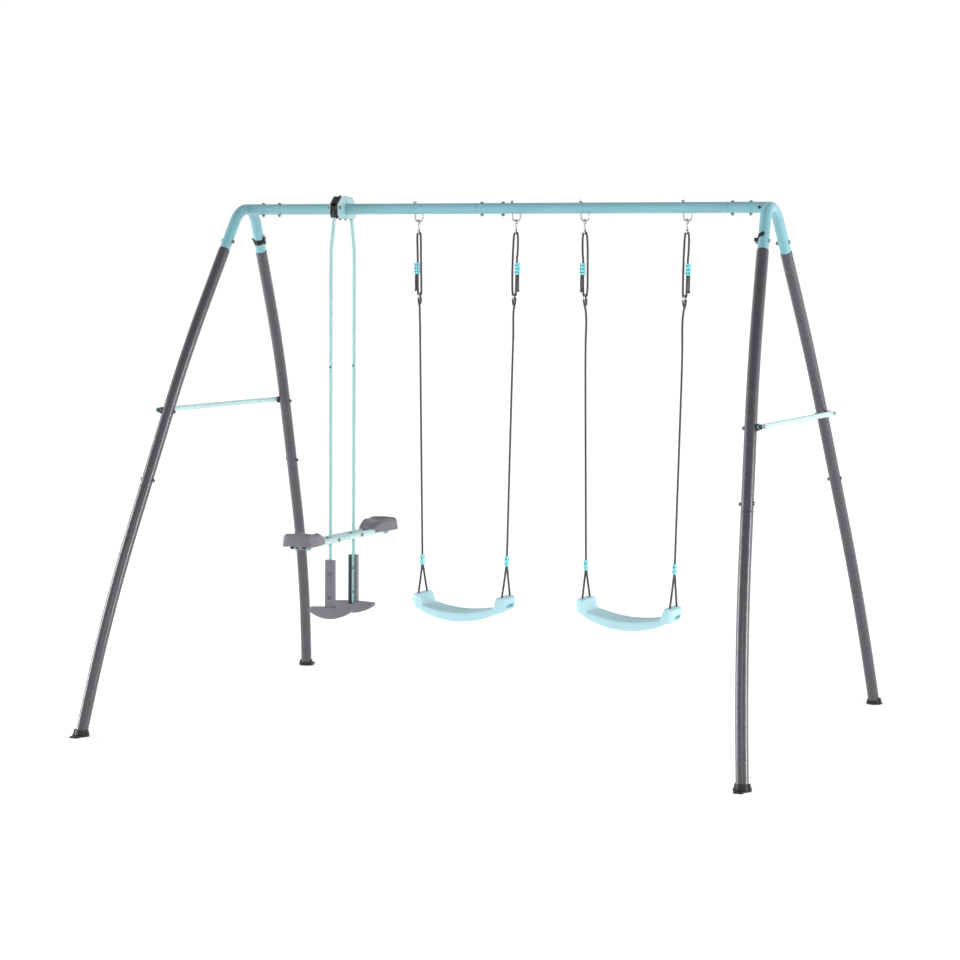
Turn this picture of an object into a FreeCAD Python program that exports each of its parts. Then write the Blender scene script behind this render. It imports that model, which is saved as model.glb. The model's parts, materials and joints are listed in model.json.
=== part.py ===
import FreeCAD, Part
import Sketcher
import math
import os

V = FreeCAD.Vector
R = FreeCAD.Rotation
PL = FreeCAD.Placement
doc = FreeCAD.newDocument("SwingSet")

# ---------------------------------------------------------------- dimensions
sheet = doc.addObject("Spreadsheet::Sheet", "Dims")
DIMS = [
    ("beam_od", 44.5), ("tube_wall", 1.5), ("beam_height", 2100.0),
    ("apex_x", 1144.0), ("stub_end", 977.0), ("mid_seam", -86.0),
    ("lean_deg", 5.72), ("corner_radius", 116.5), ("arm_deg", 31.1),
    ("arm_drop", 174.9), ("leg_od", 48.0), ("knee_deg", 24.7),
    ("foot_deg", 14.7), ("leg_one", 265.0), ("leg_bend_one", 4275.0),
    ("leg_two", 349.7), ("leg_three", 181.4), ("leg_bend_two", 3976.0),
    ("leg_four", 141.0), ("swage_arm_od", 41.0), ("swage_leg_od", 44.4),
    ("swage_length", 95.0), ("bolt_dia", 8.0), ("hole_dia", 8.4),
    ("brace_od", 22.0), ("brace_gap", 5.0), ("brace_drop", 836.0),
    ("foot_od", 55.0), ("foot_plate", 7.0), ("foot_tongue", 31.0),
    ("foot_collar", 9.0), ("foot_flange_od", 68.0), ("foot_lug", 25.0),
    ("hook_wire", 8.0), ("hook_half", 17.5), ("hook_level", 2047.0),
    ("shook_wire", 6.0), ("shook_radius", 10.0), ("shook_pitch", 38.0),
    ("rope_dia", 8.0), ("rope_wrap", 7.1), ("loop_drop", 294.0),
    ("ring_radius", 12.0), ("ring_wire", 6.0), ("knot_dia", 23.0),
    ("seat_hang", 215.0), ("seat_half", 185.5), ("seat_length", 418.0),
    ("seat_depth", 160.0), ("seat_sag_radius", 395.0), ("seat_dish_radius", 505.0),
    ("seat_thick", 37.0), ("seat_bottom", 409.0), ("hole_spread", 45.0), ("hole_level", 514.0),
    ("a_left_level", 514.0), ("a_right_level", 514.0), ("a_left_low", 672.0), ("a_right_low", 682.0),
    ("b_left_level", 528.0), ("b_right_level", 507.0), ("b_left_low", 683.0), ("b_right_low", 684.0),
    ("a_shift", -4.0), ("b_shift", -9.0),
    ("adj_height", 48.0), ("adj_width", 19.4), ("adj_depth", 12.0),
    ("adj_shift", 3.95), ("tail_gap", 8.3), ("tail_knot", 6.5),
    ("low_adj_height", 45.0), ("low_adj_width", 12.0), ("low_adj_depth", 23.0),
    ("swing_a_x", -135.0), ("swing_b_x", 590.0), ("glider_x", -695.0),
    ("plate_thick", 3.0), ("bracket_gap", 34.0), ("bracket_half", 89.0),
    ("pivot_y", 76.0), ("pivot_z", 2104.0), ("hanger_od", 16.0),
    ("hanger_wall", 1.5), ("hanger_y", 115.0), ("hanger_bend", 80.0),
    ("hanger_join", 1423.0), ("hanger_foot", 428.0), ("bar_od", 25.0),
    ("bar_level", 727.0), ("bar_half", 420.0), ("bar_offset", 27.0),
    ("gseat_inner", 250.0), ("gseat_outer", 440.0), ("gseat_half", 70.0),
    ("gseat_nose", 42.0), ("gseat_low", 713.0), ("gseat_top", 778.0),
    ("footrest_top", 641.0), ("footrest_low", 391.0), ("footrest_half", 102.0),
    ("footrest_level", 443.0), ("open_slot", 2.6),
]
for i, (k, v) in enumerate(DIMS, 1):
    sheet.set("A%d" % i, k)
    sheet.set("B%d" % i, str(v))
    sheet.setAlias("B%d" % i, k)
doc.recompute()


def D(k):
    return float(sheet.get(k))


def rad(a):
    return math.radians(a)


NODES = []
COUNT = [0]


def uid(p):
    COUNT[0] += 1
    return "%s_%d" % (p, COUNT[0])


def node(obj, label, place=None):
    obj.Label = label
    if place is not None:
        obj.Placement = place
    NODES.append((label, obj))
    return obj


# ---------------------------------------------------------------- part design helpers
class Bod:
    def __init__(self, label):
        self.b = doc.addObject("PartDesign::Body", uid("Body"))
        self.b.Label = label
        self.label = label

    def plane(self, role):
        for o in self.b.Origin.OriginFeatures:
            if o.Role == role:
                return o

    def sk(self, role="XY_Plane", off=0.0):
        s = self.b.newObject("Sketcher::SketchObject", uid("Sk"))
        s.AttachmentSupport = [(self.plane(role), "")]
        s.MapMode = "FlatFace"
        if off:
            s.AttachmentOffset = PL(V(0, 0, off), R())
        return s

    def pad(self, s, expr, mid=False, rev=False):
        f = self.b.newObject("PartDesign::Pad", uid("Pad"))
        f.Profile = s
        f.setExpression("Length", expr)
        f.Midplane = mid
        f.Reversed = rev
        return f

    def pocket(self, s, mid=True, rev=False, expr=None):
        f = self.b.newObject("PartDesign::Pocket", uid("Pocket"))
        f.Profile = s
        if expr:
            f.Type = 0
            f.setExpression("Length", expr)
        else:
            f.Type = 1
        f.Midplane = mid
        f.Reversed = rev
        return f

    def revolve(self, s, axis="V_Axis"):
        f = self.b.newObject("PartDesign::Revolution", uid("Rev"))
        f.Profile = s
        f.ReferenceAxis = (s, [axis])
        f.Angle = 360.0
        return f

    def pipe(self, prof, spine, n):
        f = self.b.newObject("PartDesign::AdditivePipe", uid("Pipe"))
        f.Profile = prof
        f.Spine = (spine, ["Edge%d" % (i + 1) for i in range(n)])
        return f

    def done(self, place=None):
        return node(self.b, self.label, place)


def circ(s, x, y, expr):
    g = s.addGeometry(Part.Circle(V(x, y, 0), V(0, 0, 1), 5.0), False)
    s.addConstraint(Sketcher.Constraint("DistanceX", -1, 1, g, 3, x)) if abs(x) > 1e-9 else s.addConstraint(Sketcher.Constraint("PointOnObject", g, 3, -2))
    s.addConstraint(Sketcher.Constraint("DistanceY", -1, 1, g, 3, y)) if abs(y) > 1e-9 else s.addConstraint(Sketcher.Constraint("PointOnObject", g, 3, -1))
    c = s.addConstraint(Sketcher.Constraint("Radius", g, 5.0))
    nm = "rad%d" % c
    s.renameConstraint(c, nm)
    s.setExpression("Constraints." + nm, expr)
    return g


def poly(s, pts):
    n = len(pts)
    first = s.GeometryCount
    for i in range(n):
        a, b = pts[i], pts[(i + 1) % n]
        s.addGeometry(Part.LineSegment(V(a[0], a[1], 0), V(b[0], b[1], 0)), False)
    for i in range(n):
        s.addConstraint(Sketcher.Constraint("Coincident", first + i, 2, first + (i + 1) % n, 1))


def curve(s, items, close=True):
    """items: ('L',(x,y),(x,y)) or ('A',p1,pm,p2)"""
    first = s.GeometryCount
    for it in items:
        if it[0] == "L":
            s.addGeometry(Part.LineSegment(V(it[1][0], it[1][1], 0), V(it[2][0], it[2][1], 0)), False)
        else:
            s.addGeometry(Part.Arc(V(it[1][0], it[1][1], 0), V(it[2][0], it[2][1], 0), V(it[3][0], it[3][1], 0)), False)
    return len(items)


def holes(bod, role, pts, expr="Dims.hole_dia / 2", mid=True, rev=False, depth=None, off=0.0):
    s = bod.sk(role, off)
    for x, y in pts:
        circ(s, x, y, expr)
    return bod.pocket(s, mid, rev, depth)


def axes_place(origin, xa, za):
    """placement whose local X is xa and local Z is za"""
    za = V(za).normalize()
    xa = V(xa).normalize()
    ya = za.cross(xa)
    m = FreeCAD.Matrix(xa.x, ya.x, za.x, origin.x,
                       xa.y, ya.y, za.y, origin.y,
                       xa.z, ya.z, za.z, origin.z, 0, 0, 0, 1)
    return PL(m)


# ---------------------------------------------------------------- part helpers
def cyl(rexpr, hexpr, place, cone=None):
    c = doc.addObject("Part::Cylinder", uid("Cyl"))
    c.setExpression("Radius", rexpr)
    c.setExpression("Height", hexpr)
    c.Placement = place
    return c


def box(l, w, h, place):
    b = doc.addObject("Part::Box", uid("Box"))
    b.setExpression("Length", l)
    b.setExpression("Width", w)
    b.setExpression("Height", h)
    b.Placement = place
    return b


def hexa(circum, height, place, sides=6):
    p = doc.addObject("Part::Prism", uid("Hex"))
    p.Polygon = sides
    p.setExpression("Circumradius", circum)
    p.setExpression("Height", height)
    p.Placement = place
    return p


def fuse(objs):
    f = doc.addObject("Part::MultiFuse", uid("Fuse"))
    f.Shapes = objs
    return f


def cut(a, b):
    f = doc.addObject("Part::Cut", uid("Cut"))
    f.Base = a
    f.Tool = b
    return f


def compound(objs):
    f = doc.addObject("Part::Compound", uid("Group"))
    f.Links = objs
    return f


def zdir(origin, direction):
    return PL(origin, R(V(0, 0, 1), direction))


GROUPS = {}


def flush(name):
    node(compound(GROUPS[name]), name)


def bolts(name, items, dia="Dims.bolt_dia", nuts=None, head=5.0, nut=6.5, over=3.0, hexhead=False):
    """items: (point under head, direction, grip).  Solids are collected under the names given."""
    bb, nn = GROUPS.setdefault(name, []), GROUPS.setdefault(nuts, []) if nuts else []
    for p, d, grip in items:
        d = V(d).normalize()
        sh = cyl("%s / 2" % dia, "%r" % (grip + nut + over), zdir(p, d))
        if hexhead:
            hd = hexa("%s * 0.95" % dia, "%r" % head, zdir(p - d * head, d))
        else:
            hd = cyl("%s * 0.95" % dia, "%r" % (head * 0.55), zdir(p - d * head * 0.55, d))
            h2 = doc.addObject("Part::Cone", uid("Cone"))
            h2.setExpression("Radius1", "%s * 0.95" % dia)
            h2.setExpression("Radius2", "%s * 0.55" % dia)
            h2.Height = head * 0.45
            h2.Placement = zdir(p - d * head * 0.55, -d)
            hd = fuse([hd, h2])
        bb.append(fuse([sh, hd]))
        if nuts:
            q = p + d * (grip + 0.05)
            nn.append(cut(hexa("%s * 0.92" % dia, "%r" % nut, zdir(q, d)),
                          cyl("%s / 2 + 0.1" % dia, "%r" % (nut + 2), zdir(q - d, d))))


# ---------------------------------------------------------------- frame geometry
lam = rad(D("lean_deg"))
za, xa = D("beam_height"), D("apex_x")


def fp(sx, y, w):
    """point of the leaning end frame: y across, w down from the apex"""
    return V(sx * (xa + w * math.sin(lam)), y, za - w * math.cos(lam))


def fdir(sx, y, w):
    return V(sx * w * math.sin(lam), y, -w * math.cos(lam))


def fnorm(sx):
    return V(sx * math.cos(lam), 0, math.sin(lam))


a1, a2, a3 = rad(D("arm_deg")), rad(D("knee_deg")), rad(D("foot_deg"))
cr = D("corner_radius")
ty, tw = cr * math.cos(a1), cr * (1 - math.sin(a1))
arm_len = (D("arm_drop") - tw) / math.cos(a1)
arm_y = ty + arm_len * math.sin(a1)


def leg_items(l1, rr, turn, l2):
    """local spine in (x,z): straight, arc bending to +x, straight"""
    p0 = (0.0, 0.0)
    p1 = (0.0, l1)
    mid = (rr * (1 - math.cos(turn / 2)), l1 + rr * math.sin(turn / 2))
    p2 = (rr * (1 - math.cos(turn)), l1 + rr * math.sin(turn))
    p3 = (p2[0] + l2 * math.sin(turn), p2[1] + l2 * math.cos(turn))
    return [("L", p0, p1), ("A", p1, mid, p2), ("L", p2, p3)], p2, p3


def leg_local(l1, rr, turn, l2, s):
    """point on the local spine at distance s, with its direction angle"""
    if s <= l1:
        return (0.0, s), 0.0
    if s <= l1 + rr * turn:
        t = (s - l1) / rr
        return (rr * (1 - math.cos(t)), l1 + rr * math.sin(t)), t
    u = s - l1 - rr * turn
    return (rr * (1 - math.cos(turn)) + u * math.sin(turn), l1 + rr * math.sin(turn) + u * math.cos(turn)), turn


UP = (D("leg_one"), D("leg_bend_one"), a1 - a2, D("leg_two"))
LO = (D("leg_three"), D("leg_bend_two"), a2 - a3, D("leg_four"))
up_len = UP[0] + UP[1] * UP[2] + UP[3]
lo_len = LO[0] + LO[1] * LO[2] + LO[3]
SEAM1, SEAM2 = 4.6, 2.6          # shoulder clearances at the two leg joints
ARM_BOLT, LEG_BOLT = 45.0, 34.0


def leg_frame(sx, sy, which):
    """placement of a leg body: local Z down the leg, local X towards the inside"""
    if which == "upper":
        y, w, a = arm_y, D("arm_drop"), a1
    else:
        (lx, lz), t = leg_local(*UP, up_len)
        y = arm_y + lz * math.sin(a1) - lx * math.cos(a1)
        w = D("arm_drop") + lz * math.cos(a1) + lx * math.sin(a1)
        a = a2
    o = fp(sx, sy * y, w)
    tdir = fdir(sx, sy * math.sin(a), math.cos(a))
    bdir = fdir(sx, -sy * math.cos(a), math.sin(a))
    return axes_place(o, bdir, tdir)


def to_world(pl, x, z):
    return pl.multVec(V(x, 0, z))


brace_s = None
(bx, bz) = (0, 0)
for k in range(0, 12001):
    s = UP[0] + k * 0.1
    (lx, lz), t = leg_local(*UP, s)
    w = D("arm_drop") + lz * math.cos(a1) + lx * math.sin(a1)
    if w >= D("brace_drop"):
        brace_s = s
        bx, bz = lx, lz
        break
brace_y = arm_y + bz * math.sin(a1) - bx * math.cos(a1)


def swage(bod, r_main, expr_sw, cone):
    s = bod.sk("XZ_Plane")
    rs = D(expr_sw) / 2
    wl = D("tube_wall")
    L = D("swage_length")
    poly(s, [(rs, -L), (rs, -cone), (r_main, 0.0), (r_main - wl, 0.0), (rs - wl, -cone - 0.8), (rs - wl, -L)])
    bod.revolve(s)


def leg(label, sx, sy, which):
    L = UP if which == "upper" else LO
    b = Bod(label)
    p = b.sk("XY_Plane")
    circ(p, 0, 0, "Dims.leg_od / 2")
    circ(p, 0, 0, "Dims.leg_od / 2 - Dims.tube_wall")
    sp = b.sk("XZ_Plane")
    items, p2, p3 = leg_items(*L)
    curve(sp, items)
    b.pipe(p, sp, 3)
    if which == "upper":
        swage(b, D("leg_od") / 2, "swage_arm_od", 4.0)
        (ex, ez), t = leg_local(*L, up_len - LEG_BOLT)
        holes(b, "XZ_Plane", [(0, -ARM_BOLT), (ex, ez), (bx, bz)])
    else:
        swage(b, D("leg_od") / 2, "swage_leg_od", 2.0)
        holes(b, "XZ_Plane", [(0, -LEG_BOLT - SEAM2)])
    return b.done(leg_frame(sx, sy, which))


names = {(-1, -1): "front_left", (-1, 1): "back_left", (1, -1): "front_right", (1, 1): "back_right"}
for (sx, sy), nm in names.items():
    leg("leg_%s_upper" % nm, sx, sy, "upper")
    pl = leg_frame(sx, sy, "lower")
    # the lower leg starts one shoulder clearance lower so that the tubes stay apart
    tdir = pl.Rotation.multVec(V(0, 0, 1))
    lw = leg("leg_%s_lower" % nm, sx, sy, "lower")
    lw.Placement = PL(pl.Base + tdir * SEAM2, pl.Rotation)

# ---------------------------------------------------------------- corner pieces


def sweep_obj(items, rexpr):
    s = doc.addObject("Sketcher::SketchObject", uid("Spine"))
    s.Placement = PL(V(0, 0, 0), R(V(1, 0, 0), 90))
    n = curve(s, items)
    c = doc.addObject("Part::Circle", uid("Circle"))
    c.setExpression("Radius", rexpr)
    sw = doc.addObject("Part::Sweep", uid("Sweep"))
    sw.Sections = [c]
    sw.Spine = (s, ["Edge%d" % (i + 1) for i in range(n)])
    sw.Solid = True
    sw.Frenet = False
    return sw


def corner(label, sx):
    """bent tube whose arms run down to the legs, with a stub for the beam"""
    turn = math.pi - 2 * a1
    la = arm_len - SEAM1
    items = [("L", (0, 0), (0, la)),
             ("A", (0, la), (cr * (1 - math.cos(turn / 2)), la + cr * math.sin(turn / 2)),
              (cr * (1 - math.cos(turn)), la + cr * math.sin(turn)))]
    px, pz = cr * (1 - math.cos(turn)), la + cr * math.sin(turn)
    items.append(("L", (px, pz), (px + la * math.sin(turn), pz + la * math.cos(turn))))
    # sweep frame: origin at the front arm's end, local Z up the arm
    o = fp(sx, -(ty + la * math.sin(a1)), tw + la * math.cos(a1))
    up = -fdir(sx, -math.sin(a1), math.cos(a1))
    inw = fdir(sx, math.cos(a1), math.sin(a1))
    pl = axes_place(o, inw, up)
    so = sweep_obj(items, "Dims.beam_od / 2")
    so.Placement = pl
    si = sweep_obj(items, "Dims.beam_od / 2 - Dims.tube_wall")
    si.Placement = pl
    stub_len = xa - D("stub_end")
    base = V(sx * D("stub_end"), 0, za)
    st = cyl("Dims.beam_od / 2", "Dims.apex_x - Dims.stub_end", zdir(base, V(sx, 0, 0)))
    sti = cyl("Dims.beam_od / 2 - Dims.tube_wall", "Dims.apex_x - Dims.stub_end", zdir(base, V(sx, 0, 0)))
    cuts = [si, sti]
    for bxp in (12.0, 87.0):
        cuts.append(cyl("Dims.hole_dia / 2", "80", zdir(V(sx * (D("stub_end") + bxp), 0, za - 40), V(0, 0, 1))))
    for sy in (-1, 1):
        q = leg_frame(sx, sy, "upper")
        c0 = to_world(q, 0, -ARM_BOLT)
        cuts.append(cyl("Dims.hole_dia / 2", "80", zdir(c0 - fnorm(sx) * 40, fnorm(sx))))
    if sx > 0:
        cuts.append(cyl("Dims.hole_dia / 2", "18", zdir(V(D("stub_end") + 127, -28, za), V(0, 1, 0))))
    node(cut(fuse([so, st]), fuse(cuts)), label)


corner("corner_left", -1)
corner("corner_right", 1)

# ---------------------------------------------------------------- beam
hooks_x = [D("swing_a_x") - D("seat_hang"), D("swing_a_x") + D("seat_hang"),
           D("swing_b_x") - D("seat_hang"), D("swing_b_x") + D("seat_hang")]
BOLTX = [-D("stub_end") - 87, -D("stub_end") - 12, D("mid_seam") + 16, D("mid_seam") + 108,
         D("stub_end") + 12, D("stub_end") + 87]
rb = D("beam_od") / 2
rsw = D("swage_arm_od") / 2
wl = D("tube_wall")
se, ms = D("stub_end"), D("mid_seam")


def beam(label, prof, through, lower):
    b = Bod(label)
    s = b.sk("XZ_Plane")
    poly(s, prof)
    b.revolve(s)
    holes(b, "YZ_Plane", [(0, x) for x in through])
    if lower:
        holes(b, "YZ_Plane", [(0, x) for x in lower], mid=False, rev=True)
    b.done(PL(V(0, 0, za), R(V(0, 0, 1), V(1, 0, 0))))
    return b


left_hooks = [x for x in hooks_x if x < ms]
right_hooks = [x for x in hooks_x if x > ms]
hh = D("hook_half")
beam("beam_left",
     [(rsw, -se - 105), (rsw, -se + 0.8), (rb, -se + 4.6), (rb, ms - 4.6), (rsw, ms - 0.8), (rsw, ms + 130),
      (rsw - wl, ms + 130), (rsw - wl, ms - 1.4), (rb - wl, ms - 5.2), (rb - wl, -se + 5.2), (rsw - wl, -se + 1.4),
      (rsw - wl, -se - 105)],
     [BOLTX[0], BOLTX[1], BOLTX[2], BOLTX[3]] + [x - hh for x in left_hooks], [x + hh for x in left_hooks])
beam("beam_right",
     [(rb, ms), (rb, se - 4.6), (rsw, se - 0.8), (rsw, se + 105), (rsw - wl, se + 105), (rsw - wl, se - 1.4),
      (rb - wl, se - 5.2), (rb - wl, ms)],
     [BOLTX[2], BOLTX[3], BOLTX[4], BOLTX[5]] + [x - hh for x in right_hooks], [x + hh for x in right_hooks])

bolts("frame_bolts", [(V(x, 0, za + rb + 0.2), V(0, 0, -1), 2 * rb + 0.4) for x in BOLTX], nuts="frame_nuts")
# arm, leg and brace bolts run across the leaning end frames
arm_items, leg_items_b, brace_items = [], [], []
bo = D("leg_od") / 2 + D("brace_gap") + D("brace_od") / 2
for (sx, sy), nm in names.items():
    q = leg_frame(sx, sy, "upper")
    n = fnorm(sx)
    c0 = to_world(q, 0, -ARM_BOLT)
    arm_items.append((c0 + n * (rb + 0.1), -n, 2 * rb + 0.2))
    (ex, ez), t = leg_local(*UP, up_len - LEG_BOLT)
    c1 = to_world(q, ex, ez)
    leg_items_b.append((c1 + n * (D("leg_od") / 2 + 0.1), -n, D("leg_od") + 0.2))
    c2 = to_world(q, bx, bz)
    brace_items.append((c2 + n * (bo + D("brace_od") / 2 + 0.1), -n, bo + D("brace_od") / 2 + D("leg_od") / 2 + 0.2))
bolts("frame_bolts", arm_items, nuts="frame_nuts")
bolts("frame_bolts", leg_items_b, nuts="frame_nuts")
bolts("frame_bolts", brace_items, nuts="frame_nuts")
flush("frame_bolts")

# ---------------------------------------------------------------- braces
brace_sp = []
for sx, nm in ((-1, "left"), (1, "right")):
    n = fnorm(sx)
    b = Bod("brace_%s" % nm)
    s = b.sk("XY_Plane")
    circ(s, 0, 0, "Dims.brace_od / 2")
    circ(s, 0, 0, "Dims.brace_od / 2 - Dims.tube_wall")
    ln = 2 * (brace_y + 12)
    b.pad(s, "%r" % ln, mid=True)
    holes(b, "XZ_Plane", [(0, brace_y), (0, -brace_y)])
    c = fp(sx, 0, D("brace_drop")) + n * bo
    # local Z along world Y, local Y along the frame normal
    b.done(axes_place(c, V(0, 1, 0).cross(V(0, 0, 0) + n) * -1, V(0, 1, 0)))
    for sy in (-1, 1):
        q = leg_frame(sx, sy, "upper")
        c2 = to_world(q, bx, bz)
        blk = box("26", "26", "Dims.brace_gap + 9", axes_place(c2, V(0, 1, 0), n))
        blk.Placement = axes_place(c2 + n * (D("leg_od") / 2 - 5.0) - V(0, 13, 0) - V(0, 13, 0).cross(n) * 0 -
                                   n.cross(V(0, 1, 0)) * 13, V(0, 1, 0), n)
        pts = leg_local(*UP, brace_s)
        tdl = q.Rotation.multVec(V(math.sin(pts[1]), 0, math.cos(pts[1])))
        tools = [cyl("Dims.leg_od / 2 + 0.15", "200", zdir(c2 - tdl * 100, tdl)),
                 cyl("Dims.brace_od / 2 + 0.15", "200", zdir(c2 + n * bo - V(0, 100, 0), V(0, 1, 0))),
                 cyl("Dims.hole_dia / 2", "100", zdir(c2, n))]
        brace_sp.append(cut(blk, fuse(tools)))
node(compound(brace_sp), "brace_spacers")

# ---------------------------------------------------------------- feet
for (sx, sy), nm in names.items():
    pl = leg_frame(sx, sy, "lower")
    tdir0 = pl.Rotation.multVec(V(0, 0, 1))
    (ex, ez), t = leg_local(*LO, lo_len)
    end = to_world(pl, ex, ez) + tdir0 * SEAM2
    td = pl.Rotation.multVec(V(math.sin(t), 0, math.cos(t)))
    toe = end + td * (end.z / -td.z)
    outer = cyl("Dims.foot_od / 2", "130", zdir(end - td * D("foot_collar"), td))
    plate = cyl("Dims.foot_flange_od / 2", "Dims.foot_plate", PL(V(toe.x, toe.y, 0), R()))
    tng = box("34", "Dims.foot_od / 2 + Dims.foot_tongue", "Dims.foot_plate",
              PL(V(toe.x - 17, toe.y if sy > 0 else toe.y - (D("foot_od") / 2 + D("foot_tongue")), 0), R()))
    # two upright lugs grip the tube's sides
    fr = D("foot_flange_od") / 2
    lugs = []
    for sd in (-1, 1):
        o = V(toe.x + sd * (fr - 1.0), toe.y - sy * 3.0 + sd * 10, 3.5)
        lugs.append(box("9", "20", "Dims.foot_lug", axes_place(o, V(-sd * 20, 0, -5.5), V(-sd * 5.5, 0, 20))))
    body = fuse([outer, plate, tng] + lugs)
    under = box("400", "400", "200", PL(V(toe.x - 200, toe.y - 200, -200), R()))
    bore = cyl("Dims.leg_od / 2 + 0.15", "200", zdir(end + td * 0.3 - td * 200, td))
    print("foot", nm, "peg hole at", round(toe.x, 4), round(toe.y + sy * (D("foot_od") / 2 + D("foot_tongue") - 13), 4), "sole at", round(toe.y, 4))
    peg = cyl("4.5", "60", PL(V(toe.x, toe.y + sy * (D("foot_od") / 2 + D("foot_tongue") - 13), -20), R()))
    node(cut(body, fuse([under, bore, peg])), "foot_%s" % nm)

# ---------------------------------------------------------------- straps on two arms and the stub plug
straps = []
for nm, sx, sy in (("back_left", -1, 1), ("front_right", 1, -1)):
    q = leg_frame(sx, sy, "upper")
    c0 = to_world(q, 0, -64.0)
    td = q.Rotation.multVec(V(0, 0, 1))
    n = fnorm(sx)
    ring = cyl("Dims.beam_od / 2 + 2.4", "16", zdir(c0 - td * 8, td))
    side = q.Rotation.multVec(V(1, 0, 0))
    lug = box("14", "12", "14", axes_place(c0 + side * (rb + 1.0) - td * 7 - n * 6, side, td))
    bore = cyl("Dims.beam_od / 2 + 0.15", "60", zdir(c0 - td * 30, td))
    straps.append(cut(fuse([ring, lug]), bore))
node(compound(straps), "arm_straps")
pg = Bod("stub_plug")
s = pg.sk("XZ_Plane")
poly(s, [(0, -1.2), (3.9, -1.2), (3.9, 0.4), (6.0, 0.4), (5.0, 2.2), (0, 2.6)])
pg.revolve(s)
pg.done(zdir(V(se + 127, -rb - 0.2, za), V(0, -1, 0)))

# ---------------------------------------------------------------- beam hooks
hk, nut4 = [], []
hl = D("hook_level")
for i, hx in enumerate(hooks_x):
    items = [("L", (-hh, 88.0), (-hh, hh)), ("A", (-hh, hh), (0, 0.0), (hh, hh)), ("L", (hh, hh), (hh, 38.0))]
    sw = sweep_obj(items, "Dims.hook_wire / 2")
    sw.Sections[0].Placement = PL(V(-hh, 0, 88.0), R())
    sw.Placement = PL(V(hx, 0, hl), R())
    hk.append(sw)
    p = V(hx - hh, 0, za + rb + 0.6)
    nut4.append(cut(hexa("Dims.bolt_dia * 0.92", "6.5", PL(p, R())), cyl("Dims.hook_wire / 2 + 0.1", "12", PL(p - V(0, 0, 1), R()))))
node(compound(hk), "beam_hooks")
GROUPS["frame_nuts"] += nut4

# ---------------------------------------------------------------- swings
sr, swr = D("shook_radius"), D("shook_wire") / 2
zu = D("hook_wire") / 2 + 0.3 - (sr - swr)
zl = zu - D("shook_pitch")
zc1 = zl - sr
zc2 = -D("loop_drop")
wr = D("rope_wrap")
ring_c = zc2 - D("ring_radius")
ring_b = ring_c - D("ring_radius")
knot_z = ring_b - 16.0
RUNS = []


def place_section(sw, items, place=None):
    it = items[0]
    if it[0] == "L":
        t = V(it[2][0] - it[1][0], 0, it[2][1] - it[1][1])
    else:
        p1, pm, p3 = [V(p[0], p[1], 0) for p in it[1:]]
        a = Part.Arc(p1, pm, p3)
        tt = a.tangent(a.FirstParameter)[0]
        t = V(tt.x, 0, tt.y)
    sw.Sections[0].Placement = PL(V(it[1][0], 0, it[1][1]), R(V(0, 0, 1), t))
    return sw


def route(pts):
    """straight runs joined by the largest tangent arcs that they allow; gives the items and the radii"""
    items, radii, prev = [], [], pts[0]
    for a, b, c in zip(pts, pts[1:], pts[2:]):
        u, v = V(b[0] - a[0], b[1] - a[1], 0), V(c[0] - b[0], c[1] - b[1], 0)
        lu, lv = u.Length, v.Length
        u.normalize()
        v.normalize()
        turn = math.acos(max(-1.0, min(1.0, u.dot(v))))
        cutb = 0.45 * min(lu, lv)
        r = cutb / math.tan(turn / 2)
        p1 = (b[0] - u.x * cutb, b[1] - u.y * cutb)
        p2 = (b[0] + v.x * cutb, b[1] + v.y * cutb)
        k = V(v.x - u.x, v.y - u.y, 0).normalize()
        d = r / math.cos(turn / 2) - r
        pm = (b[0] + k.x * d, b[1] + k.y * d)
        items += [("L", prev, p1), ("A", p1, pm, p2)]
        radii.append(r)
        prev = p2
    items.append(("L", prev, pts[-1]))
    return items, radii


def pt(c, r, deg):
    return (c[0] + r * math.cos(rad(deg)), c[1] + r * math.sin(rad(deg)))


def shook(place):
    al = math.degrees(math.asin(2 * sr / D("shook_pitch")))
    cu, cl = (0, zu), (0, zl)
    a0, a9 = -40.0, 180.0 + al
    up = ("A", pt(cu, sr, a0), pt(cu, sr, (a0 + a9) / 2), pt(cu, sr, a9))
    lo = ("A", pt(cl, sr, al), pt(cl, sr, (al - 220.0) / 2), pt(cl, sr, -220.0))
    items = [up, ("L", up[3], lo[1]), lo]
    sw = place_section(sweep_obj(items, "Dims.shook_wire / 2"), items)
    sw.Placement = place * PL(V(0, 0, 0), R(V(0, 0, 1), 90))
    return sw


def rounded_bar(label, w, d, h):
    """plastic bar with rounded ends in plan, height along local Z, centred on Z"""
    b = Bod(label)
    s = b.sk("XY_Plane")
    hw, hd = w / 2, d / 2
    c = min(hw, hd) * 0.45
    pts = [(-hw + c, -hd), (hw - c, -hd), (hw, -hd + c), (hw, hd - c), (hw - c, hd), (-hw + c, hd), (-hw, hd - c), (-hw, -hd + c)]
    poly(s, pts)
    return b, s


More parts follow.
